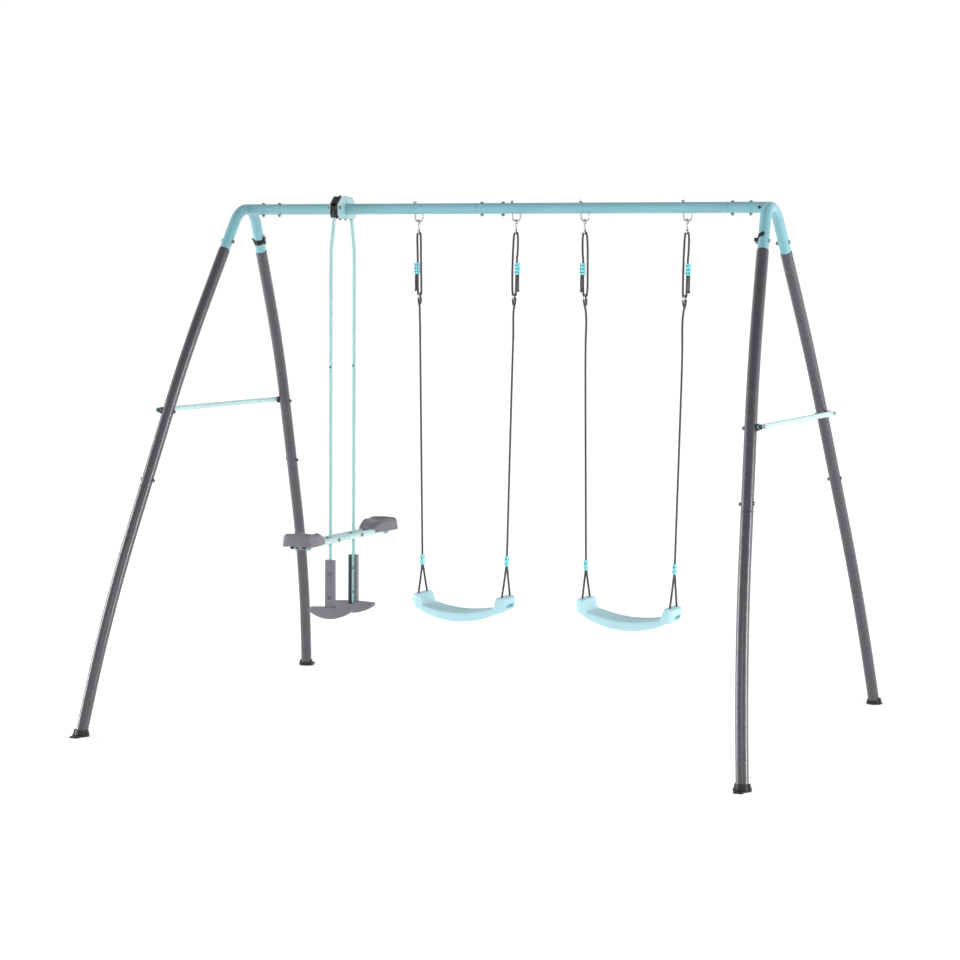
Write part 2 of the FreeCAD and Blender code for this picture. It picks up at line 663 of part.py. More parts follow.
def swing(tag, xc, dx, levels, lows_z):
    shooks, rings, ups, lows = [], [], [], []
    tools = []
    tilt = math.asin((levels[0] - levels[1]) / (2 * D("seat_half")))
    for sd, sn in ((-1, "left"), (1, "right")):
        # each rope hangs straight from its hook to its end of the seat
        level, low_z = levels[0 if sd < 0 else 1], lows_z[0 if sd < 0 else 1]
        across = D("seat_hang") - D("seat_half") * math.cos(tilt) - sd * dx
        beta = math.degrees(math.atan(across / (hl - level)))
        HOLE_Z = -math.hypot(across, hl - level)
        LOW_TOP = -(hl - low_z) / math.cos(rad(beta))
        LOW_BOT = LOW_TOP - D("low_adj_height")
        fork_slope = (D("hole_spread") - 5.0) / (LOW_BOT - HOLE_Z)
        print("%s %s rope: leans %.3f deg, hole at %.2f, lower adjuster %.2f to %.2f, fork slope %.4f" % (tag, sn, beta, HOLE_Z, LOW_TOP, LOW_BOT, fork_slope))
        pr = PL(V(xc + sd * D("seat_hang"), 0, hl), R(V(0, 1, 0), sd * beta))
        shooks.append(shook(pr))
        # adjustable loop over the lower bend of the S hook and through the ring
        xb = sd * wr
        za1, zb1 = -190.4, -191.6
        items = [("L", (xb, za1), (xb, zc1)), ("A", (xb, zc1), (0, zc1 + wr), (-xb, zc1)),
                 ("L", (-xb, zc1), (-xb, zc2)), ("A", (-xb, zc2), (0, zc2 - wr), (xb, zc2)),
                 ("L", (xb, zc2), (xb, zb1))]
        sw = place_section(sweep_obj(items, "Dims.rope_dia / 2"), items)
        sw.Placement = pr
        loop = sw
        RUNS.append(("%s_loop_%s" % (tag, sn), items, [wr, wr], loop))
        # upper adjuster on the strand away from the seat centre
        b, s = rounded_bar("x", D("adj_width"), D("adj_depth"), D("adj_height"))
        b.pad(s, "Dims.adj_height", mid=True)
        sh = sd * D("adj_shift")
        holes(b, "XY_Plane", [(-sh, 0)], "Dims.rope_dia / 2 + 0.1")
        holes(b, "XY_Plane", [(sd * D("tail_gap") - sh, 0)], "Dims.rope_dia / 2 + 0.1", mid=False, rev=True, depth="34", off=-24.0)
        b.b.Placement = pr * PL(V(xb + sh, 0, -191.0), R())
        ups.append(b.b)
        # free end of the loop: out of the adjuster's second channel, down to its stopper knot
        xt = xb + sd * D("tail_gap")
        it3, rr3 = route([(xt, -184.0), (xt, -222.0), (xt + sd * 3.2, -246.0), (xt + sd * 3.6, -277.0)])
        tail = place_section(sweep_obj(it3, "Dims.rope_dia / 2"), it3)
        tail.Placement = pr
        RUNS.append(("%s_tail_%s" % (tag, sn), it3, rr3, tail))
        tk = doc.addObject("Part::Sphere", uid("Knot"))
        tk.setExpression("Radius", "Dims.tail_knot")
        tk.Placement = pr * PL(V(xt + sd * 3.6, 0, -279.0), R())
        tail = fuse([tail, tk])
        
        # ring in the plane of the swing
        t = doc.addObject("Part::Torus", uid("Torus"))
        t.setExpression("Radius1", "Dims.ring_radius")
        t.setExpression("Radius2", "Dims.ring_wire / 2")
        t.Placement = pr * PL(V(0, 0, ring_c), R(V(0, 1, 0), 90))
        rings.append(t)
        # main rope: eye round the ring, knot, long straight run
        it2 = [("L", (-wr, knot_z), (-wr, ring_b)), ("A", (-wr, ring_b), (0, ring_b + wr), (wr, ring_b)),
               ("L", (wr, ring_b), (wr, knot_z))]
        eye = place_section(sweep_obj(it2, "Dims.rope_dia / 2"), it2)
        eye.Placement = pr
        kn = doc.addObject("Part::Sphere", uid("Knot"))
        kn.setExpression("Radius", "Dims.knot_dia / 2")
        kn.Placement = pr * PL(V(0, 0, knot_z), R())
        run = cyl("Dims.rope_dia / 2", "%r" % (knot_z - (LOW_TOP - 17.0)), pr * PL(V(0, 0, LOW_TOP - 17.0), R()))
        main = fuse([eye, kn, run])
        RUNS.append(("%s_eye_%s" % (tag, sn), it2, [wr], eye))
        RUNS.append(("%s_run_%s" % (tag, sn), [("L", (0, knot_z), (0, LOW_TOP - 17.0))], [], run))
        # lower adjuster where the rope divides
        b2, s2 = rounded_bar("y", D("low_adj_width"), D("low_adj_depth"), D("low_adj_height"))
        b2.pad(s2, "Dims.low_adj_height")
        b2.b.Placement = pr * PL(V(0, 0, LOW_BOT), R())
        forks, bores = [], [cyl("Dims.rope_dia / 2 + 0.15", "40", pr * PL(V(0, 0, LOW_TOP - 17.6), R())),
                            cyl("3.2", "40", pr * PL(V(-20, 0, LOW_BOT + 18), R(V(0, 1, 0), 90)))]
        for sy in (-1, 1):
            d = V(0, sy * fork_slope, -1).normalize()
            p0 = V(0, sy * 5.0, LOW_BOT) - d * 1.5
            ln = (p0.z - (HOLE_Z - 42.0)) / -d.z
            st = cyl("Dims.rope_dia / 2", "%r" % ln, pr * zdir(p0, d))
            kb = doc.addObject("Part::Sphere", uid("Knot"))
            kb.setExpression("Radius", "Dims.knot_dia / 2 - 2.5")
            kb.Placement = pr * PL(p0 + d * ln, R())
            forks.append(fuse([st, kb]))
            bores.append(cyl("Dims.rope_dia / 2 + 0.35", "30", pr * zdir(p0 - d * 0.5, d)))
            tools.append(cyl("Dims.rope_dia / 2 + 0.3", "120", pr * zdir(V(0, sy * D("hole_spread"), HOLE_Z) - d * 60, d)))
            kp = p0 + d * ln
            tools.append(cyl("Dims.knot_dia / 2 + 2.0", "60", pr * zdir(kp - d * 14.0, d)))
            RUNS.append(("%s_fork_%s" % (tag, sn), [("L", (0, p0.z), (0, p0.z - ln))], [], st))
        lows.append(cut(b2.b, fuse(bores)))
        node(compound([loop, tail, main] + forks), "%s_rope_%s" % (tag, sn))
    node(compound(shooks), "%s_s_hooks" % tag)
    node(compound(rings), "%s_rings" % tag)
    node(compound(ups + lows), "%s_adjusters" % tag)
    # sagging moulded seat: arched band with a raised block at each end, narrower towards the ends
    b = Bod("seat")
    s = b.sk("XZ_Plane")
    half, ro, zb = D("seat_length") / 2, D("seat_sag_radius"), D("seat_bottom")
    ri, top, hol = D("seat_dish_radius"), D("hole_level"), D("seat_bottom") + D("seat_thick")

    def arcz(r, z0, x):
        return z0 + r - math.sqrt(r * r - x * x)
    xa_, xi = 183.0, 156.0
    za_, zi = arcz(ro, zb, xa_), arcz(ri, hol, xi)
    half_items = [[("L", (half, 484.0), (half, top - 9))], [("L", (half, top - 9), (half - 9, top))],
                  [("L", (half - 9, top), (169.0, top - 1))], [("L", (169.0, top - 1), (163.0, top - 7))],
                  [("L", (163.0, top - 7), (160.0, zi + 6))], [("L", (160.0, zi + 6), (xi, zi))]]
    items = [("A", (-xa_, za_), (0, zb), (xa_, za_)), ("A", (xa_, za_), (202.0, 466.0), (half, 484.0))]
    for it in half_items:
        items += it
    items.append(("A", (xi, zi), (0, hol), (-xi, zi)))
    for it in reversed(half_items):
        k, p, q = it[0]
        items.append((k, (-q[0], q[1]), (-p[0], p[1])))
    items.append(("A", (-half, 484.0), (-202.0, 466.0), (-xa_, za_)))
    curve(s, items)
    b.pad(s, "Dims.seat_depth", mid=True)
    pb = Bod("plan")
    s = pb.sk("XY_Plane", 380.0)
    w = D("seat_depth") / 2
    quarter = [(half + 1, 44.0), (half - 3, 56.0), (half - 11, 64.0), (half - 25, w - 10.5), (150.0, w - 4.0), (95.0, w), (0.0, w + 1)]
    outl = quarter + [(-x, y) for x, y in reversed(quarter[:-1])]
    poly(s, outl + [(x, -y) for x, y in reversed(outl)])
    pb.pad(s, "200")
    shaped = doc.addObject("Part::Common", uid("Common"))
    shaped.Base = b.b
    shaped.Tool = pb.b
    shaped.Placement = PL(V(xc + dx, 0, (levels[0] + levels[1]) / 2), R(V(0, 1, 0), math.degrees(tilt))) * PL(V(0, 0, -top), R())
    node(cut(shaped, fuse(tools)), "%s_seat" % tag)


swing("swing_a", D("swing_a_x"), D("a_shift"), (D("a_left_level"), D("a_right_level")), (D("a_left_low"), D("a_right_low")))
swing("swing_b", D("swing_b_x"), D("b_shift"), (D("b_left_level"), D("b_right_level")), (D("b_left_low"), D("b_right_low")))

# ---------------------------------------------------------------- glider bracket
gx = D("glider_x")
gap, pt_, bh = D("bracket_gap"), D("plate_thick"), D("bracket_half")
py, pz = D("pivot_y"), D("pivot_z")
OCT = [(-bh, 2076), (-bh + 14, 2060), (bh - 14, 2060), (bh, 2076), (bh, 2118), (50, 2152), (-50, 2152), (-bh, 2118)]
gplates = []
for sgn, nm in ((-1, "left"), (1, "right")):
    b = Bod("glider_plate_%s" % nm)
    s = b.sk("YZ_Plane")
    poly(s, OCT)
    circ(s, 0, za, "Dims.beam_od / 2 + 0.4")
    for yy in (-py, py):
        circ(s, yy, pz, "Dims.hole_dia / 2")
    b.pad(s, "Dims.plate_thick")
    x0 = gx + gap / 2 if sgn > 0 else gx - gap / 2 - pt_
    b.b.Placement = PL(V(x0, 0, 0), R())
    gplates.append(b.b)
node(compound(gplates), "glider_plates")
clampb = []
for sy, nm in ((-1, "front"), (1, "back")):
    b = Bod("glider_block_%s" % nm)
    s = b.sk("YZ_Plane")
    pts = [(sy * 0.3, 2151.4), (sy * 49.8, 2151.4), (sy * (bh - 0.6), 2117.6), (sy * (bh - 0.6), 2076.4),
           (sy * (bh - 14.4), 2060.6), (sy * 0.3, 2060.6)]
    poly(s, pts)
    b.pad(s, "Dims.bracket_gap - 0.6", mid=True)
    holes(b, "YZ_Plane", [(0, za)], "Dims.beam_od / 2 + 0.4")
    holes(b, "YZ_Plane", [(sy * py, pz)], "Dims.hole_dia / 2")
    s3 = b.sk("XY_Plane", 2030.0)
    y1, y2 = sorted((sy * 57.0, sy * (bh + 10)))
    poly(s3, [(-10.2, y1), (10.2, y1), (10.2, y2), (-10.2, y2)])
    b.pocket(s3, mid=False, rev=True, expr="92")
    s4 = b.sk("XY_Plane", 2106.0)
    circ(s4, 0, sy * 27.0, "3.2")
    b.pocket(s4, mid=True)
    b.done(PL(V(gx, 0, 0), R()))
    clampb.append((V(gx, sy * 27.0, 2152.2), V(0, 0, -1), 92.4))
bolts("glider_bracket_bolts", clampb, dia="6", nuts="glider_bracket_bolts", head=4.0, nut=5.0, over=2.0)
bolts("glider_bracket_bolts", [(V(gx + gap / 2 + pt_ + 0.2, sy * py, pz), V(-1, 0, 0), gap + 2 * pt_ + 0.4) for sy in (-1, 1)],
      nuts="frame_nuts")
flush("glider_bracket_bolts")
flush("frame_nuts")

# ---------------------------------------------------------------- glider hangers
hy, ho, hw_ = D("hanger_y"), D("hanger_od") / 2, D("hanger_wall")
vz = 1926.0
th0 = math.atan2(hy - py, pz - vz)
hb = D("hanger_bend")
tl = hb * math.tan(th0 / 2)
YZ = PL(V(gx, 0, 0), R(V(0, 0, 1), 90))
for sy, nm in ((-1, "front"), (1, "back")):
    ddir = V(0, sy * math.sin(th0), -math.cos(th0))
    p0 = (sy * (py + 13 * math.sin(th0)), pz - 13 * math.cos(th0))
    p1 = (sy * (hy - tl * math.sin(th0)), vz + tl * math.cos(th0))
    p2 = (sy * hy, vz - tl)
    ca = (sy * (hy - hb), vz - tl)
    pm = (ca[0] + sy * hb * math.cos(th0 / 2), ca[1] + hb * math.sin(th0 / 2))
    p3 = (sy * hy, D("hanger_join") + 3.2)
    items = [("L", p0, p1), ("A", p1, pm, p2), ("L", p2, p3)]
    so = place_section(sweep_obj(items, "Dims.hanger_od / 2"), items)
    so.Placement = YZ
    si = place_section(sweep_obj(items, "Dims.hanger_od / 2 - Dims.hanger_wall"), items)
    si.Placement = YZ
    jb = cyl("2.7", "40", zdir(V(gx, sy * hy - 20, D("hanger_join") + 22), V(0, 1, 0)))
    node(cut(so, fuse([si, jb])), "glider_hanger_%s_upper" % nm)
    b = Bod("glider_hanger_%s_lower" % nm)
    s = b.sk("XZ_Plane")
    j = D("hanger_join")
    poly(s, [(ho, D("hanger_foot")), (ho, j - 1), (ho - hw_ - 0.1, j + 2.4), (ho - hw_ - 0.1, j + 60), (ho - 2 * hw_ - 0.1, j + 60),
             (ho - 2 * hw_ - 0.1, j + 1.2), (ho - hw_, j - 2.2), (ho - hw_, D("hanger_foot"))])
    b.revolve(s)
    holes(b, "YZ_Plane", [(0, D("bar_level"))], "Dims.bolt_dia / 2 + 0.05")
    holes(b, "XZ_Plane", [(0, j + 22)], "2.7")
    holes(b, "XZ_Plane", [(0, 583.0), (0, 482.0), (0, 703.0)], "2.7")
    b.done(PL(V(gx, sy * hy, 0), R()))
    # knuckle on the pivot
    pv = V(gx, sy * py, pz)
    kn = fuse([cyl("11.5", "19.6", zdir(pv - V(9.8, 0, 0), V(1, 0, 0))), cyl("9.4", "43", zdir(pv + ddir * 1.0, ddir))])
    kt = fuse([cyl("Dims.bolt_dia / 2 + 0.05", "40", zdir(pv - V(20.3, 0, 0), V(1, 0, 0))),
               cyl("Dims.hanger_od / 2 + 0.1", "60.7", zdir(pv + ddir * 12.6, ddir))])
    node(cut(kn, kt), "glider_knuckle_%s" % nm)
    bolts("hanger_screws_%s" % nm, [(V(gx, sy * (hy + ho + 0.1), j + 22), V(0, -sy, 0), 2 * ho + 0.2)], dia="5", nuts="hanger_screws_%s" % nm,
          head=3.0, nut=4.0, over=1.5)
    # footrest: channel over the tube with a crescent bar
    fr = Bod("footrest")
    s = fr.sk("XY_Plane", D("footrest_level") - 2)
    o, i_ = 12.5, 8.4
    poly(s, [(-19, -12), (-19, o), (19, o), (19, -12), (15.4, -12), (15.4, i_), (-15.4, i_), (-15.4, -12)])
    fr.pad(s, "Dims.footrest_top - Dims.footrest_level + 2")
    s2 = fr.sk("XZ_Plane", -20.0)
    hf, lv, lo_ = D("footrest_half"), D("footrest_level"), D("footrest_low")
    curve(s2, [("L", (-hf, lv - 3), (-hf, lv - 18)), ("A", (-hf, lv - 18), (0, lo_), (hf, lv - 18)), ("L", (hf, lv - 18), (hf, lv - 3)),
               ("A", (hf, lv - 3), (0, lv - 0.0), (-hf, lv - 3))])
    fr.pad(s2, "40")
    holes(fr, "XZ_Plane", [(0, 583.0), (0, 482.0)], "2.7")
    s5 = fr.sk("XY_Plane", D("hanger_foot") - 0.6)
    circ(s5, 0, 0, "Dims.hanger_od / 2 + 0.3")
    fr.pocket(s5, mid=False, rev=True, expr="30")
    node(fr.b, "footrest_%s" % nm, PL(V(gx, sy * hy, 0), R(V(0, 0, 1), 0 if sy > 0 else 180)))
    bolts("hanger_screws_%s" % nm, [(V(gx, sy * (hy + 12.7), z), V(0, -sy, 0), 12.7 + ho + 0.2) for z in (583.0, 482.0)],
          dia="5", nuts="hanger_screws_%s" % nm, head=3.0, nut=4.0, over=1.5)
    flush("hanger_screws_%s" % nm)

# ---------------------------------------------------------------- glider crossbars and seats
bl, bof = D("bar_level"), D("bar_offset")
for sgn, nm in ((-1, "left"), (1, "right")):
    b = Bod("glider_bar_%s" % nm)
    s = b.sk("XY_Plane")
    circ(s, 0, 0, "Dims.bar_od / 2")
    circ(s, 0, 0, "Dims.bar_od / 2 - Dims.tube_wall")
    b.pad(s, "Dims.bar_half * 2", mid=True)
    # local Z is world Y, local X is world X
    holes(b, "YZ_Plane", [(0, -hy)], "Dims.bolt_dia / 2 + 0.1")
    holes(b, "YZ_Plane", [(0, hy)], "Dims.bolt_dia / 2 + Dims.open_slot")
    holes(b, "XZ_Plane", [(0, -386.0), (0, 386.0)], "3.2")
    b.done(axes_place(V(gx + sgn * bof, 0, bl), V(1, 0, 0), V(0, 1, 0)))
caps = []
for sgn in (-1, 1):
    for sy in (-1, 1):
        e = V(gx + sgn * bof, sy * D("bar_half"), bl)
        caps.append(fuse([cyl("Dims.bar_od / 2", "3", zdir(e + V(0, sy * 0.2, 0), V(0, sy, 0))),
                          cyl("Dims.bar_od / 2 - Dims.tube_wall - 0.1", "14", zdir(e + V(0, sy * 0.2, 0), V(0, -sy, 0)))]))
node(compound(caps), "glider_bar_caps")
xl = bof + D("bar_od") / 2
# front pivot pin turns with the bars, rear pivot pin with the rear hanger
bolts("glider_pin_front", [(V(gx + xl + 0.2, -hy, bl), V(-1, 0, 0), 2 * xl + 0.4)], nuts="glider_pin_front")
flush("glider_pin_front")
bolts("glider_pin_back", [(V(gx + xl + 0.5, hy, bl), V(-1, 0, 0), 2 * xl + 1.0)], nuts="glider_pin_back")
flush("glider_pin_back")
sp = []
for sy, nm in ((-1, "front"), (1, "back")):
    for sgn in (-1, 1):
        p = V(gx + sgn * (ho + 0.4), sy * hy, bl)
        sp.append(cut(cyl("9.5", "%r" % (bof - D("bar_od") / 2 - ho - 0.9), zdir(p, V(sgn, 0, 0))),
                      cyl("Dims.bolt_dia / 2 + 0.1" if sy < 0 else "Dims.bolt_dia / 2 + Dims.open_slot", "20",
                          zdir(p - V(sgn * 2, 0, 0), V(sgn, 0, 0)))))
node(compound(sp), "glider_spacers")
plates = []
sb = []
for sy, nm in ((-1, "front"), (1, "back")):
    q = box("84", "34", "3", PL(V(gx - 42, sy * 386 - 17, bl - D("bar_od") / 2 - 3.3), R()))
    hs = [cyl("3.3", "20", PL(V(gx + sgn * bof, sy * 386, bl - D("bar_od") / 2 - 10), R())) for sgn in (-1, 1)]
    plates.append(cut(q, fuse(hs)))
    for sgn in (-1, 1):
        sb.append((V(gx + sgn * bof, sy * 386, bl - D("bar_od") / 2 - 3.5), V(0, 0, 1), 30.0))
    gi, go, gh, gn = D("gseat_inner"), D("gseat_outer"), D("gseat_half"), D("gseat_nose")
    side = Bod("side")
    s = side.sk("YZ_Plane")
    g0, g1 = D("gseat_low"), D("gseat_top")
    top = [("L", (sy * go, g0), (sy * go, g1 - 8)), ("L", (sy * go, g1 - 8), (sy * (go - 10), g1)),
           ("A", (sy * (go - 10), g1), (sy * 372, g1 - 11), (sy * 305, g1 - 1)),
           ("A", (sy * 305, g1 - 1), (sy * 285, g1 - 7), (sy * 262, g1 - 22)),
           ("L", (sy * 262, g1 - 22), (sy * gi, g1 - 36)), ("L", (sy * gi, g1 - 36), (sy * gi, g0)),
           ("L", (sy * gi, g0), (sy * go, g0))]
    curve(s, top)
    side.pad(s, "200", mid=True)

    def outline(ins):
        h_, n_ = gh - ins, gn - ins
        a = [(-h_ + 12, go - ins), (h_ - 12, go - ins), (h_, go - ins - 12), (h_, 335.0), (n_ + 6, 285.0), (n_, gi + 14.0),
             (n_ - 12, gi + ins), (-n_ + 12, gi + ins), (-n_, gi + 14.0), (-n_ - 6, 285.0), (-h_, 335.0), (-h_, go - ins - 12)]
        return [(x, sy * y) for x, y in a]
    out = Bod("outline")
    s = out.sk("XY_Plane", 690.0)
    poly(s, outline(0.0))
    out.pad(s, "120")
    com = doc.addObject("Part::Common", uid("Common"))
    com.Base = side.b
    com.Tool = out.b
    hol = Bod("hollow")
    s = hol.sk("XY_Plane", 690.0)
    poly(s, outline(4.0))
    hol.pad(s, "%r" % (bl + D("bar_od") / 2 + 2.0 - 690.0))
    nts = [box("Dims.bar_od + 1.2", "400", "80", PL(V(sgn * bof - D("bar_od") / 2 - 0.6, sy * 345 - 200, bl + D("bar_od") / 2 + 0.6 - 80), R())) for sgn in (-1, 1)]
    tls = [hol.b] + nts + [cyl("3.2", "40", PL(V(sgn * bof, sy * 386, 735), R())) for sgn in (-1, 1)]
    c1 = cut(com, fuse(tls))
    node(c1, "glider_seat_%s" % nm, PL(V(gx, 0, 0), R()))
node(compound(plates), "glider_seat_plates")
bolts("glider_seat_bolts", sb, dia="6", head=3.5, nut=0.0, over=0.0)
flush("glider_seat_bolts")

# ---------------------------------------------------------------- write
doc.recompute()
bad = []
for o in doc.Objects:
    if any(x in o.State for x in ("Invalid", "Error")):
        bad.append((o.Name, o.Label, o.State))
for label, o in NODES:
    sh = o.Shape
    if sh.isNull() or not sh.isValid() or not sh.Solids:
        bad.append((label, "shape", len(sh.Solids) if not sh.isNull() else -1))
if bad:
    for b_ in bad:
        print("BAD", b_)
    raise SystemExit("some shapes failed")
os.makedirs("parts", exist_ok=True)
total = None
for label, o in NODES:
    o.Shape.exportStep("parts/%s.step" % label)
    bb = o.Shape.BoundBox
    print("%-28s solids %d vol %.0f  x %.0f..%.0f y %.0f..%.0f z %.0f..%.0f" % (label, len(o.Shape.Solids), o.Shape.Volume, bb.XMin, bb.XMax, bb.YMin, bb.YMax, bb.ZMin, bb.ZMax))
for nm, items, rr, ob in RUNS:
    lng = 0.0
    for it in items:
        ps = [V(q[0], q[1], 0) for q in it[1:]]
        lng += (ps[1] - ps[0]).Length if it[0] == "L" else Part.Arc(*ps).length()
    sec = math.pi * D("rope_dia") ** 2 / 4
    print("cord %s length %.1f volume / (section x length) %.4f bend radii %s" % (nm, lng, ob.Shape.Volume / (sec * lng), [round(q, 1) for q in rr]))
print(len(NODES), "nodes")
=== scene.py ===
import bpy
import bmesh
import json
import math
from mathutils import Matrix, Vector, noise


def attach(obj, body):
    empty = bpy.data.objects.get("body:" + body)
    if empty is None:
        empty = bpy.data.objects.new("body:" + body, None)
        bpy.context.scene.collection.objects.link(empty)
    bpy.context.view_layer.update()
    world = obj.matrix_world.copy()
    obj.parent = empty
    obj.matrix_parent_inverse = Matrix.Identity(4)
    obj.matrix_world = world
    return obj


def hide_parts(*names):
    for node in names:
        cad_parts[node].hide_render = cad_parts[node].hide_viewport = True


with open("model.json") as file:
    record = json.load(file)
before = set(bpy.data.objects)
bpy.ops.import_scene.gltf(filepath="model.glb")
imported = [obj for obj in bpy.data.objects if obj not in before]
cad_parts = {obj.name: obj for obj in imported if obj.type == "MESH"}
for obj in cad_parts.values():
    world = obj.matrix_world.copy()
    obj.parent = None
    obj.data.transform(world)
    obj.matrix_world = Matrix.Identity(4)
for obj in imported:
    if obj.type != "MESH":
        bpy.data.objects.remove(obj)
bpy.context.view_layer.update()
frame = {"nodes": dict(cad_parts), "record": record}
NODES = frame["nodes"]
MM = 0.001
rad = math.radians
SC = bpy.context.scene


def link(ob):
    SC.collection.objects.link(ob)
    return ob


# ------------------------------------------------------------------ camera
def make_camera():
    yaw, pitch, roll = rad(21.804), rad(4.507), rad(0.377)
    fw = Vector((-math.sin(yaw) * math.cos(pitch), math.cos(yaw) * math.cos(pitch), -math.sin(pitch)))
    right = fw.cross(Vector((0, 0, 1))).normalized()
    up = right.cross(fw)
    r = math.cos(roll) * right + math.sin(roll) * up
    u = -math.sin(roll) * right + math.cos(roll) * up
    cam = bpy.data.cameras.new("camera")
    cam.sensor_width = 36.0
    cam.lens = 2555.0 / 960 * 36.0
    cam.clip_end = 200.0
    ob = link(bpy.data.objects.new("camera", cam))
    m = Matrix.Identity(4)
    for i in range(3):
        m[i][0], m[i][1], m[i][2] = r[i], u[i], -fw[i]
    m.translation = Vector((3.820, -9.727, 1.815))
    ob.matrix_world = m
    SC.camera = ob


make_camera()


# ------------------------------------------------------------------ node helpers
class Mat:
    def __init__(self, name):
        self.m = bpy.data.materials.new(name)
        self.m.use_nodes = True
        self.nt = self.m.node_tree
        self.b = self.nt.nodes["Principled BSDF"]
        self.tc = self.nt.nodes.new("ShaderNodeTexCoord")
        self.bumps = None

    def n(self, kind, **kw):
        x = self.nt.nodes.new(kind)
        for k, v in kw.items():
            setattr(x, k, v)
        return x

    def l(self, a, b):
        self.nt.links.new(a, b)

    def coords(self, scale=(1, 1, 1)):
        mp = self.n("ShaderNodeMapping")
        mp.inputs["Scale"].default_value = scale
        self.l(self.tc.outputs["Object"], mp.inputs["Vector"])
        return mp.outputs["Vector"]

    def noise(self, scale, detail=3.0, rough=0.5, vec=None, dist=0.0):
        x = self.n("ShaderNodeTexNoise")
        x.inputs["Scale"].default_value = scale
        x.inputs["Detail"].default_value = detail
        x.inputs["Roughness"].default_value = rough
        x.inputs["Distortion"].default_value = dist
        self.l(vec or self.tc.outputs["Object"], x.inputs["Vector"])
        return x.outputs["Fac"]

    def voronoi(self, scale, feature="F1", vec=None, out="Distance", smooth=None):
        x = self.n("ShaderNodeTexVoronoi", feature=feature)
        x.inputs["Scale"].default_value = scale
        if smooth is not None and "Smoothness" in x.inputs:
            x.inputs["Smoothness"].default_value = smooth
        self.l(vec or self.tc.outputs["Object"], x.inputs["Vector"])
        return x.outputs[out]

    def ramp(self, fac, stops):
        x = self.n("ShaderNodeValToRGB")
        e = x.color_ramp.elements
        while len(e) < len(stops):
            e.new(0.5)
        for el, (p, c) in zip(e, stops):
            el.position = p
            el.color = c if len(c) == 4 else (*c, 1)
        self.l(fac, x.inputs["Fac"])
        return x.outputs["Color"]

    def mix(self, fac, a, b, mode="MIX"):
        x = self.n("ShaderNodeMix", data_type="RGBA", blend_type=mode)
        if isinstance(fac, float):
            x.inputs["Factor"].default_value = fac
        else:
            self.l(fac, x.inputs["Factor"])
        for s, v in ((6, a), (7, b)):
            if isinstance(v, tuple):
                x.inputs[s].default_value = (*v, 1)
            else:
                self.l(v, x.inputs[s])
        return x.outputs[2]

    def mrange(self, v, a, b, c, d):
        x = self.n("ShaderNodeMapRange")
        for i, q in zip((1, 2, 3, 4), (a, b, c, d)):
            x.inputs[i].default_value = q
        self.l(v, x.inputs[0])
        return x.outputs[0]

    def bump(self, height, strength, dist):
        x = self.n("ShaderNodeBump")
        x.inputs["Strength"].default_value = strength
        x.inputs["Distance"].default_value = dist
        self.l(height, x.inputs["Height"])
        if self.bumps is not None:
            self.l(self.bumps, x.inputs["Normal"])
        self.bumps = x.outputs["Normal"]
        self.l(self.bumps, self.b.inputs["Normal"])

    def set(self, **kw):
        names = {"color": "Base Color", "rough": "Roughness", "metal": "Metallic", "coat": "Coat Weight",
                 "coat_rough": "Coat Roughness", "spec": "Specular IOR Level", "sheen": "Sheen Weight", "sheen_rough": "Sheen Roughness"}
        for k, v in kw.items():
            s = self.b.inputs[names[k]]
            if isinstance(v, (float, int)):
                s.default_value = v
            elif isinstance(v, tuple):
                s.default_value = (*v, 1)
            else:
                self.l(v, s)
        return self


def tone(c, k):
    return tuple(max(0.0, min(1.0, x * k)) for x in c)


def paint(name, base, rough=0.33, coat=0.35, var=0.07):
    """smooth powder coat: faint orange peel, cloudy tone, fine lighter speckles painted in as highlight mottle"""
    m = Mat(name)
    cloud = m.noise(7.0, 4.0, 0.55)
    fine = m.noise(160.0, 3.0, 0.6)
    c = m.ramp(cloud, [(0.25, tone(base, 1 - var)), (0.75, tone(base, 1 + var))])
    # fine lighter speckles: painted highlight, a mottled shine laid into the colour
    c = m.mix(m.mrange(fine, 0.55, 0.8, 0.0, 0.22), c, tone(base, 1.14))
    m.set(color=c, rough=m.mrange(m.noise(45.0, 4.0, 0.6), 0.3, 0.7, rough - 0.05, rough + 0.08), coat=coat, coat_rough=0.16, spec=0.5)
    m.bump(m.noise(330.0, 2.0, 0.5), 0.22, 0.00035)
    m.bump(m.noise(28.0, 3.0, 0.5), 0.12, 0.0006)
    return m.m


def hammered(name, dark, light):
    """hammered enamel: raised cells in a darker matrix, with a soft metallic glint"""
    m = Mat(name)
    warp = m.noise(90.0, 2.0, 0.5)
    v = m.n("ShaderNodeVectorMath", operation="MULTIPLY_ADD")
    m.l(warp, v.inputs[0])
    v.inputs[1].default_value = (0.004, 0.004, 0.004)
    m.l(m.coords((1.0, 1.0, 0.8)), v.inputs[2])
    cell = m.voronoi(210.0, "SMOOTH_F1", v.outputs[0], smooth=0.6)
    edge = m.voronoi(210.0, "DISTANCE_TO_EDGE", v.outputs[0])
    patch = m.noise(14.0, 4.0, 0.6)
    c = m.ramp(cell, [(0.05, light), (0.45, tuple((a + b) / 2 for a, b in zip(dark, light))), (0.85, dark)])
    c = m.mix(m.mrange(patch, 0.35, 0.75, 0.0, 0.4), c, tone(light, 0.95))
    c = m.mix(m.mrange(m.noise(900.0, 2.0, 0.5), 0.62, 0.8, 0.0, 0.5), c, tone(light, 1.9))
    m.set(color=c, metal=0.3, rough=m.mrange(edge, 0.0, 0.25, 0.44, 0.27), coat=0.75, coat_rough=0.17, spec=0.6)
    m.bump(m.ramp(cell, [(0.0, (1, 1, 1)), (0.7, (0, 0, 0))]), 0.5, 0.0009)
    m.bump(m.noise(420.0, 2.0, 0.5), 0.12, 0.0003)
    return m.m


